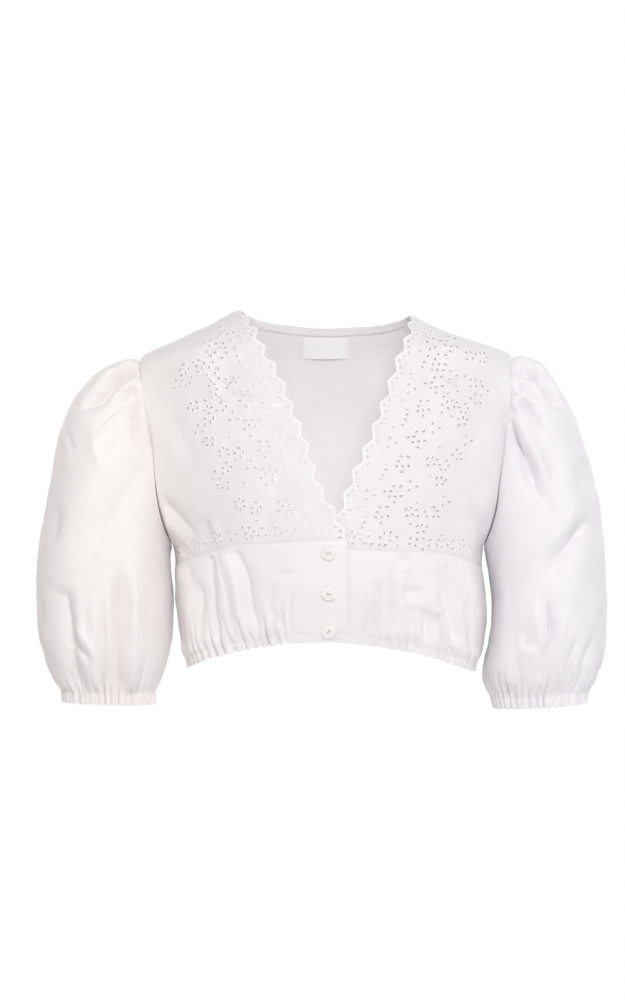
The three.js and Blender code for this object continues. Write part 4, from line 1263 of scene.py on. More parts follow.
    def build_binding(
        self, points: Array, normals: Array, run: Array, closet: Wardrobe, seams: Stitches,
    ) -> None:
        """Lays the binding along the inside of the back neck."""
        chosen = np.abs(points[-1, :, 0]) < self.binding_reach
        columns, ways, lengths = points[:, chosen], normals[:, chosen], run[:, chosen]
        strips = np.linspace(0.4, 0.4 + self.binding_width, 9)[:, None]
        goals = lengths[-1:] - strips
        middle, out = self.resample(columns, ways, lengths, goals)
        bulge = np.sin(np.pi * np.linspace(0, 1, 9))[:, None]
        pucker = 0.12 * np.sin(run_lengths(middle, axis=1) * 1.1) * bulge
        laid = -(self.cloth + self.binding_cloth) / 2 - 0.12 + pucker
        middle = middle + out * laid[..., None]
        strip = grid_cloth(middle, out, thickness=self.binding_cloth)
        hang(strip, "back_neck_binding", closet)
        seams.run(middle[-2], -out[-2], 0.6)
        seams.run(middle[1], -out[1], 0.6)


@dataclass
class Sleeve:
    """A puff sleeve, pleated into the armhole and gathered into an elastic casing at the cuff."""

    side: Side
    rings: Rows
    creases: dict[Face, tuple[Crease, ...]]
    round_creases: tuple[Crease, ...]
    columns: int = 308
    rows: int = 144
    casing_rows: int = 9
    gathers: int = 28
    cloth: float = 0.8
    casing_cloth: float = 1.9
    wall_gap: float = 1.3
    middle_y: float = 1
    cuff_ring: float = 10
    end_ring: float = 11
    pleat_height: float = 2.3
    pleat_angle: Span = (86, 62)
    around: float = 110
    ring_step: float = 38
    drawn_in: float = 3.5
    gather: Gather = Gather(
        height=2.0, reach=(11, 58), seed=51, ruching=0.8, puff=0.2, crowd=10 / 7,
    )
    crease_share: float = 2.3

    def curve(self, name: str) -> Curve:
        """Returns one named size of the sleeve's rings."""
        column = ("out_x", "out_z", "in_x", "in_z", "front", "back").index(name)
        return Curve(tuple((ring, row[column]) for ring, row in enumerate(self.rings)))

    def ellipse(self, ring: Array, angle: Array) -> Array:
        """Returns points of the plain rings."""
        share = 0.5 + 0.5 * np.cos(angle)
        front = np.sin(angle) >= 0
        depth = np.where(front, self.curve("front")(ring), self.curve("back")(ring))
        x = mix(self.curve("in_x")(ring), self.curve("out_x")(ring), share)
        z = mix(self.curve("in_z")(ring), self.curve("out_z")(ring), share)
        return np.stack([x, -depth * np.sin(angle), z], axis=-1)

    def rim(self, angle: Array) -> tuple[Array, Array]:
        """Returns the armhole's rim on the sleeve's side of the seam, and its outward directions."""
        points, ways = [], []
        for face in (Face.FRONT, Face.BACK):
            point, radial, turn = FORM.rim(self.side, face, np.abs(angle))
            point[..., 0] += self.side.value * (RIM_GAP + self.wall_gap * np.sin(turn))
            points.append(point)
            ways.append(FORM.turned(self.side, radial, turn, -1))
        front = (np.sin(angle) >= 0)[..., None]
        return np.where(front, points[0], points[1]), np.where(front, ways[0], ways[1])

    def surface(self, ring: Array, angle: Array) -> Array:
        """Returns points of the smooth sleeve at rings and angles from its outer point."""
        ring, angle = np.broadcast_arrays(ring, angle)
        point = self.ellipse(ring, angle)
        point[..., 1] += self.middle_y * ramp(ring, (0, 2))
        shift = self.rim(angle)[0] - self.ellipse(np.zeros_like(ring), angle)
        return point + shift * ramp(ring, (1.5, 0))[..., None]

    def normal(self, ring: Array, angle: Array, step: float = 0.01) -> Array:
        """Returns outward directions, which lie square to the armhole at its seam."""
        down = self.surface(ring + step, angle) - self.surface(ring - step, angle)
        around = self.surface(ring, angle + step) - self.surface(ring, angle - step)
        free = unit(np.cross(around, down)) * self.side.value
        seam = ramp(ring, (0.25, 0))[..., None]
        return unit(mix(free, self.rim(angle)[1], seam))

    def out(self, points: Array, ring: Array, angle: Array) -> Array:
        """Returns how far pleats, gathers and creases move the cloth out."""
        turns = angle / (2 * np.pi) * self.gathers
        down = run_lengths(points, axis=0)
        to_cuff = np.maximum(down[self.rows] - down, 0)
        cuff = self.gather.shift(turns + 0.5, to_cuff) - self.drawn_in * ramp(ring, (7.5, 10))
        pleats = self.pleats(angle, ring)
        x, z = points[..., 0], points[..., 2]
        total = np.zeros_like(x)
        fade = ramp(np.cos(angle), (-0.93, -0.45)) * ramp(self.cuff_ring - ring, (0, 1.7))
        fade = fade * ramp(ring, (0, 0.5))
        for face, creases in self.creases.items():
            facing = ramp(-face.value * np.sin(angle), (0.1, 0.5))
            total += sum(fold.shift(x, z) for fold in creases) * facing
        laid = np.degrees(angle) * self.around / 57.3
        total += sum(fold.shift(laid, -ring * self.ring_step) for fold in self.round_creases)
        uneven = 0.55 * ripple(points, 46, 25) + 0.16 * ripple(points, 14, 26)
        uneven = uneven * ramp(ring, (0, 0.6)) * mix(0.3, 1, ramp(self.cuff_ring - ring, (0, 1)))
        seam = seam_dip(down, 0.9, 2.2) + seam_dip(to_cuff, 0.4, 1.3) * (ring < self.cuff_ring)
        return cuff + pleats + self.crease_share * total * fade + uneven + seam

    def pleats(self, angle: Array, ring: Array) -> Array:
        """Returns the small laid pleats of the sleeve cap, steep on one side and soft on the other."""
        turns = angle / (2 * np.pi) * self.gathers * 1.15
        loose = turns + 0.14 * waves(turns, 71)
        share = np.mod(loose, 1)
        laid = np.where(share < 0.3, share / 0.3, (1 - share) / 0.7)
        tall = 1 + 0.35 * waves(turns * 0.9, 72)
        reach = 1.9 + 1.3 * waves(turns * 1.6, 73)
        run = ramp(ring, (0, 0.3)) * ramp(ring, (np.max(reach), 0.25))
        run = run * np.exp(-ring / np.maximum(reach, 0.5))
        cap = ramp(np.abs(np.degrees(angle)), self.pleat_angle)
        return self.pleat_height * (2 * laid - 1) * tall * run * cap * 1.5

    def spots(self, ring: Array) -> tuple[Array, Array]:
        """Returns the cloth's middle points and outward directions at rings."""
        angle = 2 * np.pi * np.arange(self.columns) / self.columns - np.pi
        ring, angle = np.meshgrid(ring, angle, indexing="ij")
        points, normals = self.surface(ring, angle), self.normal(ring, angle)
        points[ring == 0] = self.rim(angle)[0][ring == 0]
        lifted = self.gather.scallop(angle / (2 * np.pi) * self.gathers + 0.5, ring - self.cuff_ring)
        points = points + normals * self.out(points, ring, angle)[..., None]
        points[..., 2] += lifted
        return points, normals

    def build(self, closet: Wardrobe, seams: Stitches) -> None:
        """Makes the sleeve, its casing and their stitching."""
        label = self.side.name.lower()
        upper = np.linspace(0, self.cuff_ring, self.rows + 1)
        lower = np.linspace(self.cuff_ring, self.end_ring, self.casing_rows + 1)[1:]
        points, normals = self.spots(np.concatenate([upper, lower]))
        body, casing = slice(0, self.rows + 1), slice(self.rows, None)
        cloth = grid_cloth(points[body], normals[body], True, self.cloth)
        hang(cloth, f"sleeve_{label}", closet)
        t = np.linspace(0, 1, self.casing_rows + 1)[:, None]
        thick = mix(self.cloth, self.casing_cloth, np.sin(np.pi * (0.05 + 0.72 * t)))
        cuff = grid_cloth(points[casing], normals[casing], True, thick)
        hang(cuff, f"cuff_casing_{label}", closet)
        seams.run(closed(points[self.rows]), closed(normals[self.rows]))


RIGHT_RINGS: Rows = (
    (-202.5, -48.6, -169, -247.3, 42, 46), (-233.3, -54, -170.6, -256, 52, 54),
    (-265.7, -79.9, -169.6, -270, 61, 62), (-287.3, -121, -169, -287.3, 68, 68),
    (-298.1, -171.7, -168, -304.6, 72, 72), (-307.8, -225.7, -167.3, -321.8, 75, 74),
    (-314.3, -279.7, -167.9, -341.3, 76, 75), (-313.2, -328.3, -171.2, -360.7, 73, 72),
    (-305.6, -369.4, -176, -380.2, 64, 63), (-295.9, -395.3, -181.4, -397.4, 52, 51),
    (-289.4, -406, -184.7, -407.2, 46, 46), (-288.4, -416.9, -184.7, -419, 45, 45),
)
LEFT_RINGS: Rows = (
    (198.2, -45.4, 169, -249, 42, 46), (224.6, -50.8, 170.6, -259, 52, 54),
    (251.6, -82, 173.8, -275.4, 61, 62), (271, -123, 176, -292.7, 68, 68),
    (285, -169.6, 177.6, -311, 72, 72), (294.8, -220.3, 177, -330.5, 75, 74),
    (299.2, -279.7, 173.6, -352, 76, 75), (300.2, -328.3, 169.5, -371.5, 73, 72),
    (297, -367.2, 167.8, -389.9, 64, 63), (290.5, -393, 170.6, -404, 52, 51),
    (283, -407.2, 173.9, -413.6, 46, 46), (280.8, -418, 177.1, -424.4, 45, 45),
)

RIGHT_SLEEVE_CREASES = {
    Face.FRONT: (
        Crease(((-201, -56), (-222, -69), (-241, -88), (-270, -107)), 5.2, 6, 0.7, (1, 0)),
        Crease(((-200, -75), (-212, -84), (-233, -97)), 3.4, 4.5, 0.5, (1, 0)),
        Crease(((-204, -88), (-208, -119), (-201, -141), (-192, -150)), 3.8, 5, -0.5, (1, 0.3)),
        Crease(((-252, -114), (-247, -146), (-238, -178)), -2.2, 8, 0),
        Crease(((-283, -124), (-276, -134), (-268, -148)), 1.0, 3, 0.3),
        Crease(((-199, -167), (-236, -230), (-268, -283)), 3.8, 19, 0.35, (0.8, 0)),
        Crease(((-219, -252), (-221, -300), (-222, -360), (-223, -402)), 4.6, 7, -0.9, (0, 1), 1.9),
        Crease(((-199, -262), (-198, -325), (-200, -389)), -2.0, 6, 0),
        Crease(((-299, -294), (-278, -302), (-273, -347), (-266, -402)), 3.6, 7, -0.4, (0.2, 1)),
        Crease(((-271, -325), (-254, -347), (-241, -373)), -2.4, 6, 0),
        Crease(((-279, -343), (-263, -355), (-246, -371)), 1.9, 4, 0.5, (0.2, 0)),
        Crease(((-240, -290), (-236, -340), (-240, -402)), 2.8, 5, 0.6, (0, 1)),
        Crease(((-286, -196), (-293, -250)), 2.0, 9, 0.4),
        Crease(((-226, -120), (-224, -152)), 1.6, 5, 0.5),
    ),
    Face.BACK: (
        Crease(((-206, -60), (-236, -84), (-266, -124)), 5.0, 7, -0.6, (1, 0)),
        Crease(((-202, -96), (-216, -136), (-212, -168)), 3.6, 6, 0.5, (1, 0)),
        Crease(((-208, -190), (-234, -250), (-262, -300)), 4.0, 16, 0.4, (0.7, 0)),
        Crease(((-228, -270), (-222, -330), (-226, -402)), 4.8, 7, 0.6, (0, 1)),
        Crease(((-276, -286), (-264, -330), (-262, -400)), 4.6, 7, -0.6, (0, 1)),
        Crease(((-246, -320), (-243, -398)), 2.6, 5, 0.5, (0, 1)),
        Crease(((-250, -120), (-262, -170)), 2.0, 9, 0.4),
    ),
}
LEFT_SLEEVE_CREASES = {
    Face.FRONT: (
        Crease(((213, -56), (234, -77), (257, -109)), 5.0, 5.5, -0.7, (1, 0)),
        Crease(((208, -93), (232, -125)), 3.4, 4.5, 0.5, (1, 0)),
        Crease(((188, -109), (197, -135), (210, -162), (218, -188), (229, -199)), 6.0, 7, -0.6, (1, 0.2)),
        Crease(((190, -93), (203, -135), (218, -156)), -1.8, 5, 0),
        Crease(((287, -209), (261, -241), (240, -262), (226, -289)), 5.0, 10, 0.6),
        Crease(((229, -304), (236, -347)), 4.0, 6, 0.5, (0.3, 0.2)),
        Crease(((240, -314), (231, -356), (223, -384)), 3.0, 5.5, -0.5, (0, 0.6)),
        Crease(((206, -328), (207, -352), (227, -350)), 1.6, 4.5, 0.4),
        Crease(((266, -338), (256, -372), (258, -402)), 1.8, 5, 0.5, (0, 1)),
        Crease(((204, -64), (232, -66), (250, -76)), 2.6, 4, 0.5, (1, 0)),
        Crease(((204, -78), (226, -92)), 2.2, 3.5, 0.5, (1, 0)),
        Crease(((284, -340), (272, -372), (270, -400)), 1.4, 5, 0.5, (0, 1)),
        Crease(((268, -150), (278, -196)), 1.8, 9, 0.4),
        Crease(((190, -250), (192, -300), (200, -380)), 1.8, 7, 0.5, (0.3, 1)),
    ),
    Face.BACK: (
        Crease(((204, -58), (230, -82), (254, -124)), 5.0, 7, 0.6, (1, 0)),
        Crease(((198, -96), (210, -134), (208, -166)), 3.6, 6, -0.5, (1, 0)),
        Crease(((200, -200), (226, -252), (250, -300)), 4.0, 16, 0.4, (0.7, 0)),
        Crease(((216, -270), (210, -330), (214, -402)), 4.8, 7, 0.6, (0, 1)),
        Crease(((262, -290), (250, -336), (248, -402)), 4.6, 7, 0.6, (0, 1)),
        Crease(((234, -322), (232, -398)), 2.6, 5, 0.5, (0, 1)),
    ),
}
RIGHT_ROUND_CREASES = (
    Crease(((34, -74), (72, -58)), 1.3, 10, 0.3),
    Crease(((-76, -140), (-36, -160)), 1.2, 12, 0.3),
    Crease(((32, -262), (70, -248)), 1.2, 12, 0.3),
    Crease(((-70, -250), (-34, -270)), 1.2, 12, 0.3),
    Crease(((28, -318), (34, -376)), 1.6, 7, 0.4, (0, 1)),
    Crease(((-34, -306), (-28, -376)), 1.8, 8, -0.4, (0, 1)),
)
LEFT_ROUND_CREASES = (
    Crease(((34, -72), (70, -54)), 1.3, 10, -0.3),
    Crease(((-72, -172), (-34, -158)), 1.2, 12, 0.3),
    Crease(((34, -268), (70, -250)), 1.2, 12, 0.3),
    Crease(((-74, -246), (-36, -262)), 1.2, 12, 0.3),
    Crease(((26, -312), (32, -376)), 1.6, 7, -0.4, (0, 1)),
    Crease(((-40, -320), (-34, -376)), 1.8, 8, 0.4, (0, 1)),
)


@dataclass(frozen=True)
class Eyelet:
    """One stitched hole: its place in the flat cloth, its length, width and turn."""

    place: tuple[float, float]
    length: float
    width: float
    turn: float = 0.0
    rim: float = 1.0
    lifts: tuple[float, float, float] = (0.3, 0.55, 0.0)

    def loops(self, count: int = 10) -> list[Array]:
        """Returns the hole's edge, the top of its stitched rim and the rim's outer edge."""
        angle = np.linspace(0, 2 * np.pi, count, endpoint=False)
        cos, sin = math.cos(self.turn), math.sin(self.turn)
        loops = []
        for grow in (0, self.rim * 0.5, self.rim):
            along = (self.length / 2 + grow) * np.cos(angle)
            across = (self.width / 2 + grow) * np.sin(angle)
            loops.append(np.stack([
                self.place[0] + along * cos - across * sin, self.place[1] + along * sin + across * cos,
            ], axis=-1))
        return loops

    @property
    def reach(self) -> float:
        """Half of the hole's length with its rim."""
        return max(self.length, self.width) / 2 + self.rim


def direction(angle: float) -> Array:
    """Returns the flat direction at an angle."""
    return np.array([math.cos(angle), math.sin(angle)])


@dataclass
class Pattern:
    """Flat points of a front with their lifts, stitch marks and holes, and the edges fixed between them."""

    places: list[Array] = field(default_factory=list)
    lifts: list[Array] = field(default_factory=list)
    marks: list[Array] = field(default_factory=list)
    holes: list[Array] = field(default_factory=list)
    edges: list[tuple[int, int]] = field(default_factory=list)
    count: int = 0

    def add(
        self, line: Array, lift: Array | float = 0.0, mark: Array | float = 0.0, hole: int = -1,
        fixed: bool = False,
    ) -> None:
        """Adds flat points.

        Args:
            line: the points.
            lift: how far they are raised.
            mark: how much stitching covers them.
            hole: the number of the hole whose edge they are, or -1.
            fixed: whether they are a loop whose edges stay.
        """
        size = len(line)
        if fixed:
            self.edges += [(self.count + k, self.count + (k + 1) % size) for k in range(size)]
        self.places.append(line)
        for column, value in ((self.lifts, lift), (self.marks, mark), (self.holes, hole)):
            column.append(np.broadcast_to(value, (size,)))
        self.count += size


@dataclass
class EyeletFront:
    """An upper front of eyelet cloth with a zigzag neck edge, down to the bust seam."""

    cut: FrontCut
    cloth: float = 0.8
    spacing: float = 2.7
    edge_step: float = 0.9
    side_step: float = 2.4
    table_rows: int = 140
    table_columns: int = 240
    past_middle: float = -0.2
    repeat: float = 60
    first_repeat: float = 14
    border_inset: float = 5.6
    dot: float = 2.1
    bend: float = 0.16
    leaf_step: float = 6.4
    plain_strip: float = 11
    plain_shoulder: float = 5
    shoulder_height: float = -40
    plain_corner: float = 15
    edge_margin: float = 0.9
    eyelet_gap: float = 0.25
    edge_lift: float = 0.3
    crease_share: float = 2.0

    # One repeat of the border: how far along and how far in each motif lies, then a flower's
    # radius, a spray's slant, or a bouquet's slant and rows of leaves
    FLOWERS = ((0, 23, 5.2), (30, 62, 5.2), (0, 86, 5.4), (32, 104, 5.0))
    DOTS = ((15, 18), (21, 27), (38, 27), (45, 18), (14, 74), (47, 76))
    BOUQUETS = ((14, 37, 0.45, (2, 3, 4, 3)), (46, 37, -0.45, (3, 4, 3)))
    SPRAYS = ((56, 66, 0.5), (16, 92, -0.4), (44, 84, 0.5))

    def __post_init__(self) -> None:
        """Prepares the table that turns flat places into places on the body."""
        self.sign = self.cut.side.value
        self.vines: list[Array] = []
        heights = [row[0] for row in self.cut.neck.points] + [row[1] for row in self.cut.bust.points]
        self.heights = np.linspace(min(heights) - 4, max(heights) + 1, self.table_rows)
        width = FORM.outline(self.cut.side)(self.heights)
        share = mix(self.past_middle, 1, 1 - (1 - np.linspace(0, 1, 400)) ** 2)
        x = self.sign * width[:, None] * share
        z = np.broadcast_to(self.heights[:, None], x.shape)
        run = run_lengths(np.stack([x, -FORM.depth(x, z, Face.FRONT)], axis=-1), axis=1)
        run = run - np.array([np.interp(0, share, row) for row in run])[:, None]
        self.full = run[:, -1]
        self.alpha = np.linspace(self.past_middle, 1, self.table_columns)
        self.table = np.array([
            np.interp(self.alpha * total, row, places)
            for row, places, total in zip(run, x * self.sign, self.full)
        ])

    def flat(self, x: Array, z: Array, steps: int = 90) -> Array:
        """Returns the flat place of points on the body: across from its middle, and height."""
        share = 1 - (1 - np.linspace(0, 1, steps)) ** 2
        xs = np.asarray(x, float)[:, None] * share
        zs = np.broadcast_to(np.asarray(z, float)[:, None], xs.shape)
        line = np.stack([xs, -FORM.depth(xs, zs, Face.FRONT)], axis=-1)
        return np.stack([np.sign(x) * run_lengths(line, axis=1)[:, -1], z], axis=-1)

    def unflat(self, places: Array) -> tuple[Array, Array]:
        """Returns X and Z on the body for flat places."""
        z = np.clip(places[:, 1], self.heights[0], self.heights[-1])
        total = np.interp(z, self.heights, self.full)
        alpha = np.clip(places[:, 0] * self.sign / total, self.alpha[0], 1)
        row = (z - self.heights[0]) / (self.heights[1] - self.heights[0])
        column = (alpha - self.alpha[0]) / (self.alpha[1] - self.alpha[0])
        i = np.clip(row.astype(int), 0, self.table_rows - 2)
        j = np.clip(column.astype(int), 0, self.table_columns - 2)
        near, far = (mix(self.table[k, j], self.table[k, j + 1], column - j) for k in (i, i + 1))
        return self.sign * mix(near, far, row - i), z

    def neck_frame(self, shares: Array) -> tuple[Array, Array]:
        """Returns flat places along the neck edge's middle line, and the directions out of the cloth."""
        line = self.cut.neck_line(shares)
        flat = self.flat(line[:, 0], line[:, 1])
        along = unit(np.gradient(flat, axis=0))
        return flat, np.stack([-along[:, 1], along[:, 0]], axis=-1) * self.sign

    def zigzag(self) -> Array:
        """Returns the flat outline of the toothed neck edge, from the bust seam to the shoulder."""
        length = run_lengths(self.neck_frame(np.linspace(0, 1, 200))[0])[-1]
        shares = np.linspace(0, 1, int(length / self.edge_step) + 1)
        flat, outward = self.neck_frame(shares)
        line = flat + outward * (self.tooth(shares) * self.cut.tooth_depth / 2)[:, None]
        for _ in range(2):
            line[1:-1] = (line[:-2] + 2 * line[1:-1] + line[2:]) / 4
        return line

    def tooth(self, shares: Array) -> Array:
        """Returns the zigzag's height, from -1 in an inner corner to 1 at a tip."""
        count = np.mod(shares * self.cut.teeth, 1)
        ends = ramp(shares, (0, 0.035)) * ramp(shares, (0.97, 0.9))
        return (1 - 4 * np.abs(count - 0.5)) * ends

    def even(self, line: Array) -> Array:
        """Returns a flat line with its points one side step apart."""
        steps = int(run_lengths(line)[-1] / self.side_step)
        return at_lengths(line, np.linspace(0, 1, steps + 1))

    def outline(self) -> tuple[Array, Array, Array]:
        """Returns the flat outline in three lines: neck edge, side edge and bust seam."""
        top, low = self.cut.neck_line(np.array([1.0]))[0, 1], self.cut.place(1.0, 0.0)[1]
        z = np.linspace(top, float(low), 400)
        side = self.flat(self.sign * FORM.outline(self.cut.side)(z), z)
        seam = self.flat(*self.cut.place(np.linspace(1, 0, 400), 0.0))
        return self.zigzag(), self.even(side), self.even(seam)

    def border_eyelets(self) -> list[Eyelet]:
        """Returns the round eyelets that follow the zigzag, four to a tooth."""
        count = 4 * self.cut.teeth
        shares, known = (np.arange(count) + 0.001) / count, np.linspace(0, 1, 800)
        fine, outward = self.neck_frame(known)
        offset = self.tooth(shares) * self.cut.tooth_depth / 2 - self.border_inset
        places = follow(shares, known, fine) + follow(shares, known, outward) * offset[:, None]
        return [Eyelet(tuple(place), self.dot, self.dot) for place in places]

    def flower(self, place: Array, radius: float, turn: float, petals: int = 6) -> list[Eyelet]:
        """Returns a ring of petal eyelets round a bare middle."""
        angles = [turn + 2 * math.pi * k / petals for k in range(petals)]
        return [Eyelet(tuple(place + radius * direction(angle)), 3.1, 2.0, angle) for angle in angles]

    def spray(self, place: Array, heading: float, pairs: int = 2) -> list[Eyelet]:
        """Returns a curved spray of leaf eyelets in pairs, with one at its tip."""
        found, here = [], np.array(place, float)
        for k in range(pairs):
            angle = heading + self.bend * k
            along = direction(angle)
            across = np.array([-along[1], along[0]])
            for way in (1, -1):
                centre = here + across * way * 3.5 + along * 1.5
                found.append(Eyelet(tuple(centre), 3.5, 2.0, angle + way * 0.7))
            here = here + along * self.leaf_step
        return found + [Eyelet(tuple(here), 3.4, 2.0, heading + self.bend * pairs)]

    def fan(self, place: Array, heading: float) -> list[Eyelet]:
        """Returns three leaf eyelets that open towards the inside of the cloth."""
        angles = [heading + turn for turn in (-0.75, 0, 0.75)]
        return [Eyelet(tuple(place + 4.4 * direction(angle)), 3.6, 2.1, angle) for angle in angles]

    def bouquet(self, place: Array, heading: float, slant: float, rows: Sequence[int]) -> list[Eyelet]:
        """Returns rows of slanted leaf eyelets, one row behind the other."""
        along = direction(heading)
        across = np.array([-along[1], along[0]])
        found = []
        for row, count in enumerate(rows):
            for k in range(count):
                aside = (k - (count - 1) / 2) * 5.9
                centre = place + along * (row * 6.2 + 0.12 * aside * aside / 5) + across * aside
                found.append(Eyelet(tuple(centre), 3.7, 2.1, heading + slant + 0.06 * aside))
        return found

    def vine(self, place: Array, heading: float, length: float, steps: int = 13) -> None:
        """Keeps a bending flat line for a stitched stem."""
        t = np.linspace(0, 1, steps + 1)
        angle = heading + self.bend * t * length / self.leaf_step
        step = length / steps * np.stack([np.cos(angle), np.sin(angle)], axis=-1)
        self.vines.append(place + np.cumsum(step, axis=0) - step[0])

    def motifs(self) -> list[Eyelet]:
        """Returns the eyelets of the border's repeat, from the neck edge inwards, and of the seam's row."""
        flat, outward = self.neck_frame(np.linspace(0, 1, 400))
        run = run_lengths(flat)
        found: list[Eyelet] = []

        def spot(along: float, inward: float) -> tuple[Array, float]:
            """Returns a flat place and the heading into the cloth there."""
            k = int(np.clip(np.searchsorted(run, along), 8, 391))
            way = unit(outward[k - 8:k + 8].mean(axis=0))
            return follow(along, run, flat) - way * inward, math.atan2(-way[1], -way[0])

        for k in range(int(run[-1] / self.repeat) + 2):
            base = self.first_repeat + k * self.repeat
            for along, inward, radius in self.FLOWERS:
                place, heading = spot(base + along, inward)
                found += self.flower(place, radius, heading + 0.3)
            found += self.fan(*spot(base + self.repeat / 2, 25))
            for along, inward in self.DOTS:
                found.append(Eyelet(tuple(spot(base + along, inward)[0]), self.dot, self.dot))
            for along, inward, slant, rows in self.BOUQUETS:
                found += self.bouquet(*spot(base + along, inward), slant, rows)
            for along, inward, slant in self.SPRAYS:
                place, heading = spot(base + along, inward)
                found += self.spray(place, heading + slant)
                self.vine(place, heading + slant, 26)
        return found + self.seam_motifs()

    def seam_motifs(self) -> list[Eyelet]:
        """Returns the row of flowers and leaves just above the bust seam."""
        line = self.flat(*self.cut.place(np.linspace(0.04, 0.8, 300), 0.0))
        run = run_lengths(line)
        found: list[Eyelet] = []
        for k, along in enumerate(np.arange(8, run[-1], 17)):
            place = follow(along, run, line)
            if k % 2 == 0:
                found += self.flower(place + np.array([0, 11.5]), 4.9, 0.4 * k)
            else:
                found += self.spray(place + np.array([0, 6.5]), math.pi / 2 - self.sign * 0.3)
                self.vine(place + np.array([0, 4]), math.pi / 2, 24)
        return found

    def chosen(self, outline: Array, side: Array, border: list[Eyelet], motifs: list[Eyelet]) -> list[Eyelet]:
        """Returns the eyelets that lie on the cloth, clear of its edges and of each other."""
        found, kept = border + motifs, []
        places = np.array([eyelet.place for eyelet in found])
        on_cloth, to_side = inside(places, outline), to_line(places, side)
        to_edge = to_line(places, closed(outline))
        for i, eyelet in enumerate(found):
            plain = self.plain_strip if places[i, 1] < self.shoulder_height else self.plain_shoulder
            off_side = i < len(border) or to_side[i] >= plain
            off_edge = on_cloth[i] and to_edge[i] >= eyelet.reach + self.edge_margin
            off_corner = math.dist(eyelet.place, side[0]) >= self.plain_corner
            if off_side and off_edge and off_corner and not any(
                math.dist(eyelet.place, other.place) < eyelet.reach + other.reach + self.eyelet_gap
                for other in kept
            ):
                kept.append(eyelet)
        return kept

    def build(self, closet: Wardrobe, seams: Stitches, stems: Stitches) -> None:
        """Makes the front with its holes cut through and its stitched rims raised."""
        neck, side, seam = edges = self.outline()
        outline = np.concatenate([line[:-1] for line in edges])
        eyelets = self.chosen(outline, side, self.border_eyelets(), self.motifs())
        centres = np.array([eyelet.place for eyelet in eyelets])
        reaches = np.array([eyelet.reach for eyelet in eyelets])
        pattern = self.pattern(outline, neck, eyelets, centres, reaches)
        holes = np.concatenate(pattern.holes)
        vertices, _, faces, originals, _, _ = delaunay_2d_cdt(
            [Vector(place) for place in np.concatenate(pattern.places)], pattern.edges, [], 1, 1e-5,
        )
        found = np.array([ids[0] if ids else -1 for ids in originals])
        if found.min() < 0:
            log.warning("front %s: the outline crosses itself", self.cut.side.name)
        owner = np.where(found >= 0, holes[found], -1)
        kept = np.array([
            face for face in faces
            if owner[face[0]] < 0 or len({owner[corner] for corner in face[:3]}) > 1
        ])
        used = np.unique(kept)
        index = np.full(len(found), -1)
        index[used] = np.arange(len(used))
        flat, order, triangles = np.array([tuple(v) for v in vertices])[used], found[used], index[kept]
        lifts, marks = np.concatenate(pattern.lifts)[order], np.concatenate(pattern.marks)[order]
        points, normals = self.spots(flat, lifts, neck, side, seam)
        label = self.cut.side.name.lower()
        cloth = Cloth(points, normals, triangles, flat[triangles], self.cloth, {"stitch": marks})
        hang(cloth, f"front_{label}_upper", closet, Slot.EYELET)
        log.info("front %s: %d eyelets", label, len(eyelets))
        self.sew_seams(seams)
        self.sew_vines(stems, outline, edges, centres, reaches)

    def pattern(
        self, outline: Array, neck: Array, eyelets: list[Eyelet], centres: Array, reaches: Array,
    ) -> Pattern:
        """Returns all flat points: outline, eyelets, the stitched edge's inner lines and the filling."""
        made = Pattern()
        at_neck = ramp(to_line(outline, neck), (0.6, 0.1))
        made.add(outline, self.edge_lift * at_neck * self.off_corner(outline, neck), at_neck, fixed=True)
        for number, eyelet in enumerate(eyelets):
            for ring, (loop, lift) in enumerate(zip(eyelet.loops(), eyelet.lifts)):
                made.add(loop, lift, float(lift > 0), -1 if ring else number, fixed=True)
        along = unit(np.gradient(neck, axis=0))
        inward = np.stack([along[:, 1], -along[:, 0]], axis=-1) * self.sign
        for away, lift, mark in ((0.9, 0.5, 1.0), (2.0, 0.0, 0.0)):
            line = (neck + inward * away)[2:-2]
            clear = inside(line, outline) & (to_line(line, closed(outline)) > away * 0.85)
            line = line[clear & self.clear_of(line, centres, reaches, 0.2)]
            made.add(line, lift * self.off_corner(line, neck), mark)
        mesh = self.filling(outline)
        clear = inside(mesh, outline) & (to_line(mesh, closed(outline)) > 1.3) & (to_line(mesh, neck) > 3.0)
        made.add(mesh[clear & self.clear_of(mesh, centres, reaches, 0.7)])
        return made

    def off_corner(self, places: Array, neck: Array) -> Array:
        """Returns 1 on flat places away from the shoulder's corner, falling to 0 at it."""
        return ramp(np.linalg.norm(places - neck[-1], axis=-1), (3, 12))

    def clear_of(self, places: Array, centres: Array, reaches: Array, gap: float) -> Array:
        """Returns which flat places lie clear of every eyelet."""
        away = np.linalg.norm(places[:, None] - centres[None], axis=-1) - reaches[None]
        return away.min(axis=1) > gap

    def filling(self, outline: Array) -> Array:
        """Returns staggered rows of flat points over the outline's box."""
        (left, low), (right, high) = outline.min(axis=0), outline.max(axis=0)
        rows = np.arange(low, high, self.spacing * 0.87)
        columns = np.arange(left, right, self.spacing)
        grid_x = columns[None] + (np.arange(len(rows)) % 2)[:, None] * self.spacing / 2
        grid_z = np.broadcast_to(rows[:, None], grid_x.shape)
        return np.stack([grid_x.ravel(), grid_z.ravel()], axis=-1)

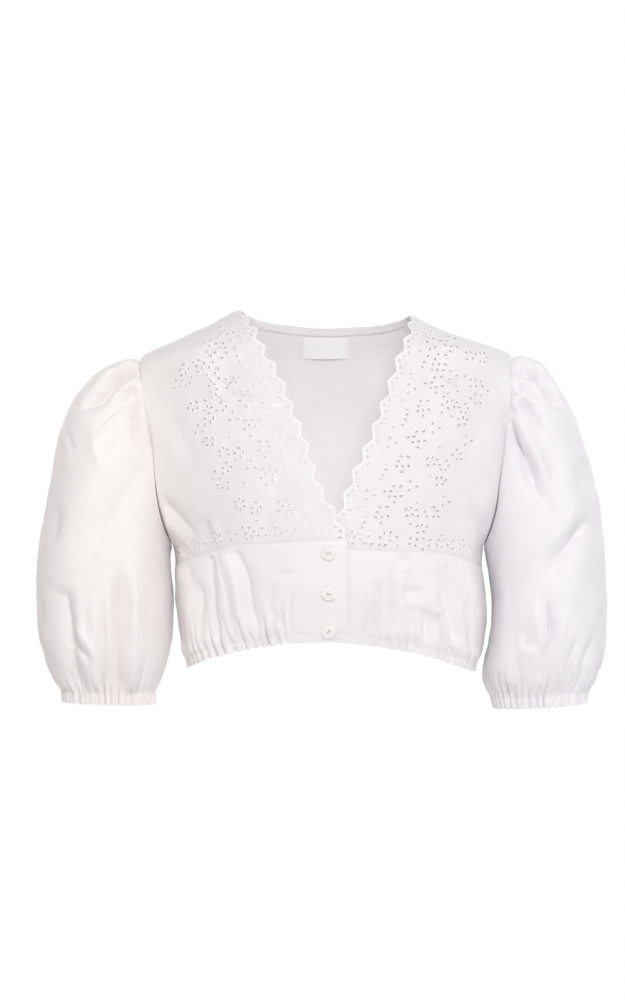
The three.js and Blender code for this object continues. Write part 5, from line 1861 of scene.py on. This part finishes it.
    def spots(self, flat: Array, lift: Array, neck: Array, side: Array, seam: Array) -> tuple[Array, Array]:
        """Returns the cloth's middle points and outward directions at flat places."""
        x, z = self.unflat(flat)
        points, normals = FORM.place(x, z, Face.FRONT, self.cut.lap)
        to_side, to_seam = to_line(flat, side), to_line(flat, seam)
        crease = self.crease_share * sum(fold.shift(x, z) for fold in BUST_CREASES)
        crease = crease * ramp(to_side, (0, 8)) * ramp(to_seam, (0, 12))
        uneven = 0.45 * ripple(points, 44, 35) + 0.12 * ripple(points, 13, 36)
        loose = ramp(to_line(flat, neck), (34, 0)) * 0.5 * waves(z / 26, 7 + self.sign)
        hole = FORM.armhole(self.cut.side)
        out = (crease + uneven + loose) * ramp(to_side, (0, 9)) * ramp(to_seam, (0, 9))
        out += lift + seam_dip(to_seam, 0.9, 2)
        out += seam_dip(to_side, 0.8, 2) * (z > hole.bottom)
        points = points + normals * out[:, None]
        half = (hole.top - hole.bottom) / 2
        angle = np.arccos(np.clip((z - (hole.top + hole.bottom) / 2) / half, -1, 1))
        rim, radial, turn = FORM.rim(self.cut.side, Face.FRONT, angle)
        rim[:, 0] -= self.sign * RIM_GAP
        edge = to_side < 0.3
        on_rim = edge & (z < hole.top - 0.5) & (z > hole.bottom + 0.5)
        points[on_rim] = rim[on_rim]
        near = ramp(to_side, (6, 0)) * ((z < hole.top) & (z > hole.bottom))
        normals = unit(mix(normals, FORM.turned(self.cut.side, radial, turn, 1), near[:, None]))
        points[edge & ~on_rim, 1] = -SEAM_GAP
        return points, normals

    def sew_vines(
        self, stems: Stitches, outline: Array, edges: tuple[Array, Array, Array], centres: Array,
        reaches: Array,
    ) -> None:
        """Embroiders the stems between the eyelets."""
        for vine in self.vines:
            fine = at_lengths(vine, np.linspace(0, 1, 60))
            free = inside(fine, outline) & (to_line(fine, closed(outline)) > 5)
            free &= (to_line(fine, edges[1]) > 8) & self.clear_of(fine, centres, reaches, 0.3)
            for part in np.split(fine, np.nonzero(~free)[0]):
                part = part[1:]
                if len(part) > 6:
                    stems.run(*self.spots(part, np.zeros(len(part)), *edges), 0.42)

    def sew_seams(self, seams: Stitches) -> None:
        """Sews the line along the upper side of the bust seam."""
        x, z = self.cut.place(np.linspace(0.01, 0.99, 120), 0.0)
        seams.run(*FORM.place(x, z + 2.2, Face.FRONT, self.cut.lap), 0.2)


@dataclass
class NeckLabel:
    """A bare satin label on the inside of the back, sewn on at its ends."""

    left: float = -27
    right: float = 23.4
    top: float = -19.6
    bottom: float = -42.2
    cloth: float = 0.6
    back_cloth: float = 0.8
    gap: float = 0.45
    rows: int = 14
    columns: int = 30

    def build(self, closet: Wardrobe, seams: Stitches) -> None:
        """Makes the label and sews it on."""
        x, z = np.meshgrid(np.linspace(self.left, self.right, self.columns + 1),
                           np.linspace(self.top, self.bottom, self.rows + 1))
        points, normals = FORM.place(x, z, Face.BACK)
        share = (x - self.left) / (self.right - self.left)
        bow = 1.1 * np.sin(np.pi * share) ** 2 * ramp(z, (self.top, self.bottom))
        curl = 0.35 * ramp(z, (self.bottom + 5, self.bottom)) * np.sin(2 * np.pi * share) ** 2
        lift = -(self.back_cloth + self.cloth) / 2 - self.gap - bow - curl
        points = points + normals * lift[..., None]
        ribbon = grid_cloth(points, normals, thickness=self.cloth)
        hang(ribbon, "neck_label", closet, Slot.SATIN)
        for column in (1, -2):
            seams.run(points[:, column], -normals[:, column], 0.4)


@dataclass
class Buttons:
    """Three round pearl buttons, each sewn through two holes."""

    radius: float = 7.5
    thickness: float = 2.8
    rim: float = 1.7
    dish: float = 0.8
    hole: float = 0.85
    hole_apart: float = 1.6
    segments: int = 64
    heights: dict[str, float] = field(default_factory=lambda: {
        "top": -253.8, "middle": -295.3, "bottom": -335.1,
    })
    turns: dict[str, float] = field(default_factory=lambda: {"top": 0.2, "middle": -0.35, "bottom": 0.9})
    cloth: float = 1.3
    gap: float = 0.36

    def model(self) -> bpy.types.Object:
        """Models one button at the origin, its face up."""
        bpy.ops.object.select_all(action="DESELECT")
        bpy.ops.mesh.primitive_cylinder_add(
            vertices=self.segments, radius=self.radius * MM, depth=self.thickness * MM,
            location=(0, 0, self.thickness * MM / 2),
        )
        button = bpy.context.object
        bpy.ops.object.mode_set(mode="EDIT")
        self.pick(button, lambda face: face.normal.z > 0.9)
        for inset, drop in ((self.rim, 0.0), (0.5, -self.dish * 0.75), (1.4, -self.dish * 0.25), (2.2, 0.05)):
            bpy.ops.mesh.inset(thickness=inset * MM, depth=0)
            bpy.ops.transform.translate(value=(0, 0, drop * MM))
        bpy.ops.object.mode_set(mode="OBJECT")
        bevel = button.modifiers.new("round edges", "BEVEL")
        bevel.width = 0.55 * MM
        bevel.segments = 4
        bevel.limit_method = "ANGLE"
        bevel.angle_limit = math.radians(35)
        bpy.ops.object.modifier_apply(modifier=bevel.name)
        for way in (1, -1):
            self.drill(button, way * self.hole_apart)
        button.data.shade_smooth()
        button.data.set_sharp_from_angle(angle=math.radians(40))
        return button

    def drill(self, button: bpy.types.Object, across: float) -> None:
        """Cuts one hole through the button."""
        bpy.ops.object.select_all(action="DESELECT")
        bpy.ops.mesh.primitive_cylinder_add(
            vertices=20, radius=self.hole * MM, depth=4 * self.thickness * MM,
            location=(across * MM, 0, self.thickness * MM / 2),
        )
        drill = bpy.context.object
        bpy.ops.object.transform_apply(location=True, rotation=True, scale=True)
        bpy.context.view_layer.objects.active = button
        cut = button.modifiers.new("hole", "BOOLEAN")
        cut.operation = "DIFFERENCE"
        cut.solver = "EXACT"
        cut.object = drill
        bpy.ops.object.modifier_apply(modifier=cut.name)
        bpy.data.objects.remove(drill)

    def pick(self, piece: bpy.types.Object, wanted: Callable[[bmesh.types.BMFace], bool]) -> None:
        """Selects the faces of a piece in edit mode that are wanted."""
        shape = bmesh.from_edit_mesh(piece.data)
        for face in shape.faces:
            face.select = wanted(face)
        shape.select_flush_mode()
        bmesh.update_edit_mesh(piece.data)

    def seat(self, height: float, turn: float) -> Matrix:
        """Returns the place and turn of a button on the outer face of the lapped front."""
        points, normals = FORM.place(np.array([0.0]), np.array([height]), Face.FRONT, 1)
        out = Vector(normals[0])
        place = Vector(points[0]) + out * (self.cloth / 2 + self.gap)
        tilt = Vector((0, 0, 1)).rotation_difference(out).to_matrix().to_4x4()
        return Matrix.Translation(place * MM) @ tilt @ Matrix.Rotation(turn, 4, "Z")

    def build(self, closet: Wardrobe, loops: Stitches) -> None:
        """Makes the buttons, their thread and their buttonholes."""
        first = self.model()
        for name, height in self.heights.items():
            seat = self.seat(height, self.turns[name])
            piece = link(f"pearl_button_{name}", first.data.copy())
            piece.data.transform(seat)
            dress(piece, closet.finishes[Slot.PEARL], [f"button_{name}"])
            self.thread(seat, loops)
            self.buttonhole(height, loops)
        bpy.data.objects.remove(first)

    def thread(self, seat: Matrix, loops: Stitches) -> None:
        """Sews a button on with four strands from hole to hole."""
        turn = np.array(seat.to_3x3())
        place = np.array(seat.translation) / MM
        depth = self.thickness - self.dish + 0.28
        for across in (-0.42, -0.14, 0.14, 0.42):
            middle = place + turn @ np.array([0, across, depth])
            ahead = middle + turn @ np.array([1.0, 0, 0])
            loops.length = 2 * self.hole_apart + 0.9
            loops.sew(middle[None], ahead[None], (turn @ np.array([0, 0, 1.0]))[None], 0)

    def buttonhole(self, height: float, loops: Stitches) -> None:
        """Sews the upright buttonhole, whose ends show above and below the button."""
        loops.length = 2.1
        half = self.radius - 0.6
        for way in (1, -1):
            z = np.arange(-half, half, 0.62) + height
            points, normals = FORM.place(np.full_like(z, way * 1.15), z, Face.FRONT, 1)
            ahead = points + np.array([1.0, 0, 0])
            loops.sew(points, ahead, normals, 0.55)


@dataclass
class Studio:
    """Camera, soft light and a plain pale floor."""

    eye: tuple[float, float, float] = (-0.0167, -3.0, -0.1987)
    lens: float = 100
    floor: float = -0.86
    floor_size: float = 26
    world_light: float = 0.2

    def camera(self) -> None:
        """Adds the camera, level and straight on."""
        camera = bpy.data.cameras.new("camera")
        camera.lens = self.lens
        camera.sensor_width = 36
        camera.clip_end = 50
        stand = link("camera", camera)
        stand.location = self.eye
        stand.rotation_euler = (math.radians(90), 0, 0)
        bpy.context.scene.camera = stand

    def paper(self) -> None:
        """Adds the flat floor."""
        reach = self.floor_size / 2
        corners = ((-reach, -reach), (reach, -reach), (reach, reach), (-reach, reach))
        vertices = [(x, y, self.floor) for x, y in corners]
        mesh = bpy.data.meshes.new("paper_floor")
        mesh.from_pydata(vertices, [], [(0, 1, 2, 3)])
        mesh.materials.append(PaleFloorFinish().make())
        link("paper_floor", mesh)

    def lights(self) -> None:
        """Adds the world's even light and the soft boxes."""
        world = bpy.data.worlds.new("soft_world")
        world.use_nodes = True
        tree = world.node_tree
        glow = tree.nodes["Background"]
        glow.inputs["Color"].default_value = (1, 1, 1, 1)
        seen = tree.nodes.new("ShaderNodeLightPath")
        strength = tree.nodes.new("ShaderNodeMix")
        strength.inputs[2].default_value = self.world_light
        strength.inputs[3].default_value = 1
        tree.links.new(seen.outputs["Is Camera Ray"], strength.inputs[0])
        tree.links.new(strength.outputs[0], glow.inputs["Strength"])
        bpy.context.scene.world = world
        boxes = (
            ("key_box", (0.3, -2.8, 1.35), 1.0, 58, (1, 0.992, 0.985)),
            ("left_box", (-2.1, -1.3, 0.7), 1.0, 12, (1, 0.985, 0.97)),
            ("right_box", (2.2, -1.0, 0.3), 1.0, 11, (0.97, 0.975, 1)),
            ("rear_box", (1.9, 2.1, 1.2), 0.8, 32, (1, 1, 1)),
            ("rear_left_box", (-1.7, 2.4, 0.9), 1.0, 34, (1, 0.995, 0.99)),
            ("inner_box", (0, -0.055, -0.15), 0.12, 0.055, (1, 0.985, 0.975)),
            ("top_box", (0.1, -0.2, 1.9), 1.2, 6, (1, 1, 1)),
        )
        for name, place, size, power, colour in boxes:
            light = bpy.data.lights.new(name, "AREA")
            light.shape = "SQUARE"
            light.size = size
            light.energy = power
            light.color = colour
            stand = link(name, light)
            stand.location = place
            target = (0, 0.1, -0.05) if name == "inner_box" else (0, 0, -0.2)
            aim = Vector(target) - Vector(place)
            stand.visible_camera = False
            stand.rotation_euler = aim.to_track_quat("-Z", "Y").to_euler()

    def build(self) -> None:
        """Sets up the studio."""
        self.camera()
        self.paper()
        self.lights()
        bpy.context.scene.view_settings.view_transform = "Standard"
        bpy.context.scene.view_settings.look = "None"


def main() -> None:
    """Builds the blouse around the frame, piece by piece."""
    logging.basicConfig(level=logging.INFO, format="%(name)s: %(message)s")
    Studio().build()
    closet = Wardrobe()
    seams = Stitches("top_stitching")
    loops = Stitches("button_thread", width=0.36, height=0.36)
    stems = Stitches("embroidered_stems", length=1.9, pitch=1.5, width=0.75, height=0.5)
    for cut in (RIGHT_CUT, LEFT_CUT):
        EyeletFront(cut).build(closet, seams, stems)
        LowerFront(cut).build(closet, seams)
    Back().build(closet, seams)
    NeckLabel().build(closet, seams)
    Sleeve(Side.RIGHT, RIGHT_RINGS, RIGHT_SLEEVE_CREASES, RIGHT_ROUND_CREASES).build(closet, seams)
    Sleeve(Side.LEFT, LEFT_RINGS, LEFT_SLEEVE_CREASES, LEFT_ROUND_CREASES).build(closet, seams)
    Buttons().build(closet, loops)
    seams.make(closet.thread)
    loops.make(closet.thread)
    stems.make(closet.thread)
    bpy.context.view_layer.update()


if __name__ == "__main__":
    main()
